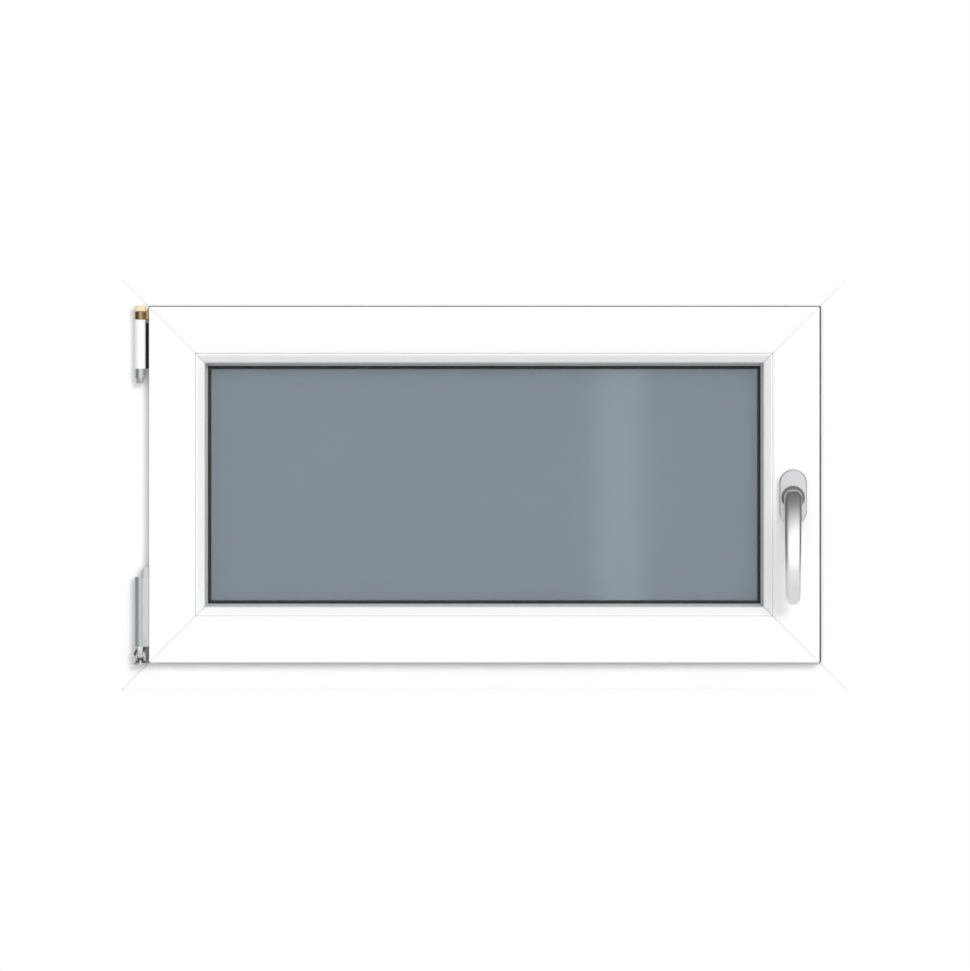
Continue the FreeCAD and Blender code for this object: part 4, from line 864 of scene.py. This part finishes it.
    def square_bar(self) -> bpy.types.Object:
        """The square spindle: four corner points at each end, drawn in at the ends by a chamfer.

        Its front end stops in the middle of the lever's head.

        Returns:
            The spindle.
        """
        low, high = (np.array(corner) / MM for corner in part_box("spindle"))
        middle, half = (low + high)[[0, 2]] / 2, (high - low)[[0, 2]] / 2
        square = np.array([(-1, -1), (1, -1), (1, 1), (-1, 1)])
        y = np.array([low[1] + self.stop_short, low[1] + self.stop_short + self.chamfer,
                      high[1] - self.chamfer, high[1]])
        size = half - self.chamfer * np.array([1, 0, 0, 1])[:, None]
        xz = middle + square[None] * size[:, None]
        points = np.stack([xz[..., 0], np.broadcast_to(y[:, None], (4, 4)), xz[..., 1]], -1)
        faces = grid_faces(4, 4, False, True).tolist() + [[3, 2, 1, 0], [12, 13, 14, 15]]
        return piece("square_spindle", points, faces, ZINC_PLATE)

    @staticmethod
    def round_off(distance: np.ndarray, radius: float) -> np.ndarray:
        """Quarter circle that rises from zero at an end to one at the radius."""
        return np.sqrt(1 - (1 - np.clip(distance / radius, 0, 1)) ** 2)

    def lofted(self, rows: int, first: int) -> list[list[int]]:
        """Faces of a closed body of rings, with both ends capped.

        Args:
            rows: number of rings.
            first: number of its first point.

        Returns:
            The faces.
        """
        last = first + (rows - 1) * self.sides
        faces = grid_faces(rows, self.sides, False, True, first).tolist()
        return faces + [list(range(first, first + self.sides))[::-1], list(range(last, last + self.sides))]


# ---------------------------------------------------------------- fittings

def dress(node: bpy.types.Object, finish: Finish) -> None:
    """Gives every slot of an object the finish's material."""
    for place in node.material_slots:
        place.material = finish.material()


@dataclass
class Swivel:
    """The bottom hinge's swivel: a polished ball, slit down its middle to hold the sash's lug.

    Attributes:
        slit: half the slit's width in mm.
        lip: width of the eased rim at the slit.
        rim: the rim's size as a share of the ball's.
        fullness: power of the quarter ellipse; below one the ball is fuller.
        rings: rings from the slit to the side.
        sides: points on a ring.
    """

    slit: float = 3.4
    lip: float = 0.5
    rim: float = 0.93
    fullness: float = 0.9
    rings: int = 14
    sides: int = 48

    def build(self) -> None:
        """Builds the two halves as one piece."""
        low, high = (np.array(corner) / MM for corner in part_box("pivot_cup"))
        middle, half = (low + high) / 2, (high - low) / 2
        shells = [self.half_ball(middle, half, way) for way in (-1, 1)]
        points = np.concatenate([shell for shell, _ in shells])
        first = len(shells[0][0])
        faces = shells[0][1] + [[corner + first for corner in face] for face in shells[1][1]]
        settle(piece("swivel_ball", points, faces, POLISHED_ZINC, 40), "pivot", "polished_zinc", "pivot_cup")

    def half_ball(self, middle: np.ndarray, half: np.ndarray, way: int) -> tuple[np.ndarray, list]:
        """One half: rings across X whose radius follows a quarter ellipse out to the side.

        Each ring is an ellipse in Y and Z. Its place follows the sine and its size the cosine of an
        angle that runs from nought at the slit to nearly a right angle at the side.

        Args:
            middle: the ball's middle in mm.
            half: half its size along each axis.
            way: minus one for the left half and one for the right half.

        Returns:
            Its points and its faces.
        """
        angle = np.linspace(0, np.pi / 2, self.rings)[:-1]
        edge = self.slit + self.lip
        x = np.concatenate([[self.slit], edge + (half[0] - edge) * np.sin(angle)])
        size = np.concatenate([[self.rim], np.cos(angle) ** self.fullness])
        turn = np.linspace(0, 2 * np.pi, self.sides, endpoint=False)
        ring = np.stack([np.zeros(self.sides), half[1] * np.cos(turn), half[2] * np.sin(turn)], 1)
        rings = middle + ring[None] * size[:, None, None]
        rings[..., 0] = middle[0] + way * x[:, None]
        faces = grid_faces(len(x), self.sides, False, True).tolist()
        last = self.sides * (len(x) - 1)
        faces += [list(range(self.sides))[::-1], list(range(last, last + self.sides))]
        return rings.reshape(-1, 3), faces if way > 0 else [face[::-1] for face in faces]


@dataclass
class Fittings:
    """The metal and moulded fittings: merged copies of their CAD nodes with eased edges.

    Attributes:
        nodes: the CAD nodes by name.
        ease: width of the eased edges in mm.
        finishes: what differs from the slot's usual finish.
        merge: distance in metres under which points are joined.
        flat: angle in degrees under which two faces count as one.
        sharp: angle in degrees above which an edge is rounded.
        eased: the nodes that are shown as eased copies.
        parted: nodes with a second finish, and the low and high corners in mm of where it lies; the stay
            bearing's second finish is painted shade.
    """

    nodes: dict[str, bpy.types.Object]
    ease: float = 0.22
    merge: float = 2e-6
    flat: float = 0.6
    sharp: float = 35.0
    finishes: dict[str, Finish] = field(default_factory=dict)
    eased: tuple[str, ...] = ()
    parted: dict[str, tuple[Finish, tuple, tuple]] = field(default_factory=dict)

    def build(self) -> None:
        """Dresses every node that nothing stands for and eases the edges of the named ones."""
        for name, node in self.nodes.items():
            if node.hide_render:
                continue
            slot = node.data.materials[0].name.split(".")[0]
            if slot in SLOT_FINISH or name in self.finishes:
                finish = self.finishes.get(name, SLOT_FINISH.get(slot))
                if name in self.eased:
                    self.eased_copy(name, node, slot, finish)
                else:
                    dress(node, finish)
                    LOG.info("%s: %s", name, finish.name)

    def eased_copy(self, name: str, node: bpy.types.Object, slot: str, finish: Finish) -> None:
        """Merges a copy of a node, joins its flat triangles and rounds its sharp edges.

        Args:
            name: the node's name.
            node: the node's object.
            slot: its material slot.
            finish: its surface.
        """
        work = bmesh.new()
        work.from_mesh(node.data)
        bmesh.ops.remove_doubles(work, verts=work.verts, dist=self.merge)
        bmesh.ops.dissolve_limit(work, angle_limit=math.radians(self.flat), verts=work.verts,
                                 edges=work.edges)
        points = np.array([v.co[:] for v in work.verts]) / MM
        faces = [[v.index for v in face.verts] for face in work.faces]
        work.free()
        made = piece(f"{name}_eased", points, faces, finish, self.sharp)
        # On the stay bearing the second finish is painted shade for the gap beside the sleeve.
        if name in self.parted:
            second, low, high = self.parted[name]
            made.data.materials.append(second.material())
            for face in made.data.polygons:
                at = np.array(face.center) / MM
                face.material_index = int(np.all(at > low) and np.all(at < high))
        edge = made.modifiers.new("eased_edges", "BEVEL")
        edge.width, edge.segments = self.ease * MM, 2
        edge.limit_method, edge.angle_limit = "ANGLE", math.radians(self.sharp)
        edge.use_clamp_overlap = True
        settle(made, node["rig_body"], slot, name)


# ---------------------------------------------------------------- studio

@dataclass
class Studio:
    """Pale floor, soft light and a camera that faces the room side squarely.

    Attributes:
        window: the window's sizes.
        margin: how much wider the view is than the window.
        key: strength of the soft key light.
        key_spread: how wide the key light is, in degrees.
        key_turn: its turn about X and Z, in degrees.
        surround: strength of the studio's white walls.
        strip: width and height of the strip light in metres, its strength, and its X and Y.
        distance: how far the camera stands off, in metres.
        off: how far right of and below the window's middle the camera stands, in metres.
        floor_half: half the floor's width in metres.
        floor_drop: how far the floor lies under the sill, in metres.
    """

    window: Window
    margin: float = 1.3402
    key: float = 1.15
    key_spread: float = 22.0
    key_turn: tuple[float, float] = (67.5, 22.6)
    surround: float = 1.0
    strip: tuple[float, float, float, float, float] = (0.06, 3.0, 0.36, 0.168, -4.2)
    distance: float = 3.0
    off: float = 0.00093
    floor_half: float = 4.0
    floor_drop: float = 0.0006

    def build(self) -> None:
        """Sets up floor, light and camera."""
        self.floor()
        self.walls()
        self.lamps()
        self.camera()
        bpy.context.scene.view_settings.view_transform = "Standard"

    def floor(self) -> None:
        """A plain pale floor just under the sill."""
        half, drop = self.floor_half, self.floor_drop
        mesh = bpy.data.meshes.new("floor")
        corners = [(-half, -half, -drop), (half, -half, -drop), (half, half, -drop), (-half, half, -drop)]
        mesh.from_pydata(corners, [], [(0, 1, 2, 3)])
        ground = bpy.data.objects.new("floor", mesh)
        bpy.context.scene.collection.objects.link(ground)
        paint = Finish("pale_floor_paint", ("#e9e9e8", "#e4e4e3"), 400, 3.0, 0.02, (0.6, 0.75))
        mesh.materials.append(paint.material())

    def walls(self) -> None:
        """White walls around; what shines sees them bright in front and dark at the sides and behind."""
        world = bpy.data.worlds.new("studio")
        world.use_nodes = True
        bpy.context.scene.world = world
        tree = world.node_tree
        tree.nodes.clear()
        where = add_node(tree, "ShaderNodeTexCoord")
        path = add_node(tree, "ShaderNodeLightPath")
        soft = self.shade(tree, where, (-0.36, -0.86, -0.36),
                          ((0.0, 0.9), (0.30, 0.8), (0.50, 0.7), (0.65, 0.85), (0.80, 1.05), (0.93, 1.15),
                           (1.0, 1.2)))
        banded = self.shade(tree, where, (0.20, -0.970, 0.14),
                            ((0.0, 0.30), (0.30, 0.22), (0.42, 0.08), (0.60, 0.07), (0.78, 0.14),
                             (0.90, 0.70), (0.97, 1.35), (1.0, 1.45)))
        lit = add_node(tree, "ShaderNodeMixShader", {}, {
            0: path.outputs["Is Glossy Ray"], 1: soft, 2: banded})
        seen = add_node(tree, "ShaderNodeBackground", {}, {"Color": (1, 1, 1, 1), "Strength": 1.0})
        mixed = add_node(tree, "ShaderNodeMixShader", {}, {
            0: path.outputs["Is Camera Ray"], 1: lit.outputs[0], 2: seen.outputs[0]})
        add_node(tree, "ShaderNodeOutputWorld", {}, {"Surface": mixed.outputs[0]})

    def shade(self, tree: bpy.types.NodeTree, where: bpy.types.Node, front: tuple[float, float, float],
              stops: tuple[tuple[float, float], ...]) -> bpy.types.NodeSocket:
        """Adds walls whose brightness depends on the angle from one direction.

        Args:
            tree: the world's tree.
            where: the node that gives the directions.
            front: the direction the angle is taken from.
            stops: places from zero, straight behind, to one, straight in front, each with its brightness.

        Returns:
            The background's output.
        """
        facing = add_node(tree, "ShaderNodeVectorMath", {"operation": "DOT_PRODUCT"}, {
            0: where.outputs["Generated"], 1: front})
        span = add_node(tree, "ShaderNodeMapRange", {}, {
            "Value": facing.outputs["Value"], "From Min": -1.0, "From Max": 1.0})
        ramp = add_node(tree, "ShaderNodeValToRGB", {}, {"Fac": span.outputs["Result"]})
        band = ramp.color_ramp
        band.interpolation = "EASE"
        band.elements[0].position, band.elements[1].position = stops[0][0], stops[-1][0]
        for place, _ in stops[1:-1]:
            band.elements.new(place)
        for element, (_, level) in zip(band.elements, stops):
            element.color = (level, level, level, 1)
        lit = add_node(tree, "ShaderNodeBackground", {}, {
            "Color": ramp.outputs["Color"], "Strength": self.surround})
        return lit.outputs[0]

    def lamps(self) -> None:
        """A broad key light from the upper right, in front of the window, and a tall strip light."""
        key = bpy.data.lights.new("key", "SUN")
        key.energy, key.angle = self.key, math.radians(self.key_spread)
        lamp = bpy.data.objects.new("key", key)
        lamp.rotation_euler = (math.radians(self.key_turn[0]), 0, math.radians(self.key_turn[1]))
        lamp.visible_glossy = False
        bpy.context.scene.collection.objects.link(lamp)
        strip = bpy.data.lights.new("strip", "AREA")
        wide, tall, strength, x, y = self.strip
        strip.shape, strip.size, strip.size_y, strip.energy = "RECTANGLE", wide, tall, strength
        stand = bpy.data.objects.new("strip", strip)
        stand.location = (x, y, self.window.height * MM / 2)
        stand.rotation_euler = (math.radians(90), 0, 0)
        bpy.context.scene.collection.objects.link(stand)

    def camera(self) -> None:
        """A camera without perspective, square to the window's room face."""
        eye = bpy.data.cameras.new("camera")
        eye.type = "ORTHO"
        eye.ortho_scale = self.window.width * MM * self.margin
        seat = bpy.data.objects.new("camera", eye)
        seat.location = (self.off, -self.distance, self.window.height * MM / 2 - self.off)
        seat.rotation_euler = (math.radians(90), 0, 0)
        bpy.context.scene.collection.objects.link(seat)
        bpy.context.scene.camera = seat


# ---------------------------------------------------------------- the whole window

# The bars' sections, as depth, reach and corner radius.
FRAME_PROFILE = [
    (0, 0, 0.3), (16, 0, 0.4), (16, 2, 0.3), (20, 2, 0.3), (20, 0, 0.4), (48, 0, 0.4), (48, 2, 0.3),
    (52, 2, 0.3), (52, 0, 0.4), (70, 0, 1.0), (70, 66, 1.5), (56, 66, 1.0), (56, 40.3, 0.3), (0, 40.3, 1.7)]
SASH_PROFILE = [
    (-18, 33.5, 1.7), (-18, 88.1, 1.0), (-16.4, 91.3, 0.5), (-13, 91.3, 0.3), (-13, 86.8, 0.2),
    (40, 86.8, 0.2), (40, 103, 0.6), (52, 103, 1.2), (52, 57, 1.2), (24, 57, 0.8), (21, 52.3, 0.6),
    (17.6, 52.3, 0.3), (17.6, 55.3, 0.2), (15.5, 55.3, 0.2), (15.5, 63.3, 0.3), (3.5, 63.3, 0.3),
    (3.5, 55.3, 0.2), (1.4, 55.3, 0.2), (1.4, 52.3, 0.3), (-3.5, 52.3, 0.3), (-3.5, 33.5, 0.8)]
BEAD_PROFILE = [
    (-16, 91.6, 0.4), (-16, 93.5, 1.6), (-7, 102.6, 3.5), (8.4, 104, 0.6), (8.4, 87.1, 0.3),
    (-12.7, 87.1, 0.3), (-12.7, 91.6, 0.3)]

# The gaskets' sections, as depth, reach and corner radius.
BEAD_GASKET = [(8.4, 97, 0.3), (12, 97, 0.3), (12, 106.8, 0.5), (10, 106.8, 0.9), (8.4, 104, 0.8)]
OUTER_GASKET = [(36, 95, 0.3), (40, 95, 0.3), (40, 103, 0.6), (38.5, 105, 0.8), (36, 105, 0.5)]
FRAME_GASKET = [(56, 58, 0.3), (56, 65, 0.3), (53, 65, 0.8), (52.3, 61.5, 1.5), (53, 58, 0.8)]

# Fittings whose edges show, and the two with a second finish inside a box given in mm: polished zinc on the
# sash hinge's lower end, and painted shade on the stay bearing's arm in the gap beside the sleeve.
EASED = ("sash_hinge", "corner_bearing", "stay_bearing", "stay_arm", "stay_cap", "hinge_sleeve",
         "drain_caps", "keeps")
PARTED = {"sash_hinge": (POLISHED_ZINC, (-450, -120, 0), (0, 0, 53.2)),
          # The stay bearing's dark zone is painted shade for the gap between the sleeve and the sash.
          "stay_bearing": (STAY_GAP_PAINTED_SHADE, (-421.8, -120, 398.65), (0, 100, 509))}


def main() -> None:
    """Builds the looks in order."""
    logging.basicConfig(level=logging.INFO, format="%(message)s")
    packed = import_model()
    nodes = packed["nodes"]
    window = Window.read()
    Studio(window).build()
    FixedFrame(window, "frame", "white_plastic", WHITE_PVC,
               {Side.HEAD: "frame_head", Side.SILL: "frame_sill", Side.HINGE: "frame_hinge_jamb",
                Side.LOCK: "frame_lock_jamb"}, FRAME_PROFILE).build()
    SashFrame(window, "sash", "white_plastic", WHITE_PVC,
              {Side.HEAD: "sash_top_rail", Side.SILL: "sash_bottom_rail",
               Side.HINGE: "sash_hinge_stile", Side.LOCK: "sash_lock_stile"}, SASH_PROFILE).build()
    # The beads' darker tone is painted shade for their slope towards the glass.
    ProfileSet(window, "sash", "bead_plastic", BEAD_PVC_PAINTED_SHADE,
               {Side.HEAD: "bead_top", Side.SILL: "bead_bottom", Side.HINGE: "bead_hinge_side",
                Side.LOCK: "bead_lock_side"}, BEAD_PROFILE, 0.4, 0.8).build()
    Handle(nodes).build()
    Swivel().build()
    glazing = Glazing(window, nodes)
    Fittings(nodes, finishes={"stay_arm": YELLOW_CHROMATE, "glass_outer": COATED_GLASS},
             eased=EASED, parted=PARTED).build()
    glazing.build()


if __name__ == "__main__":
    main()
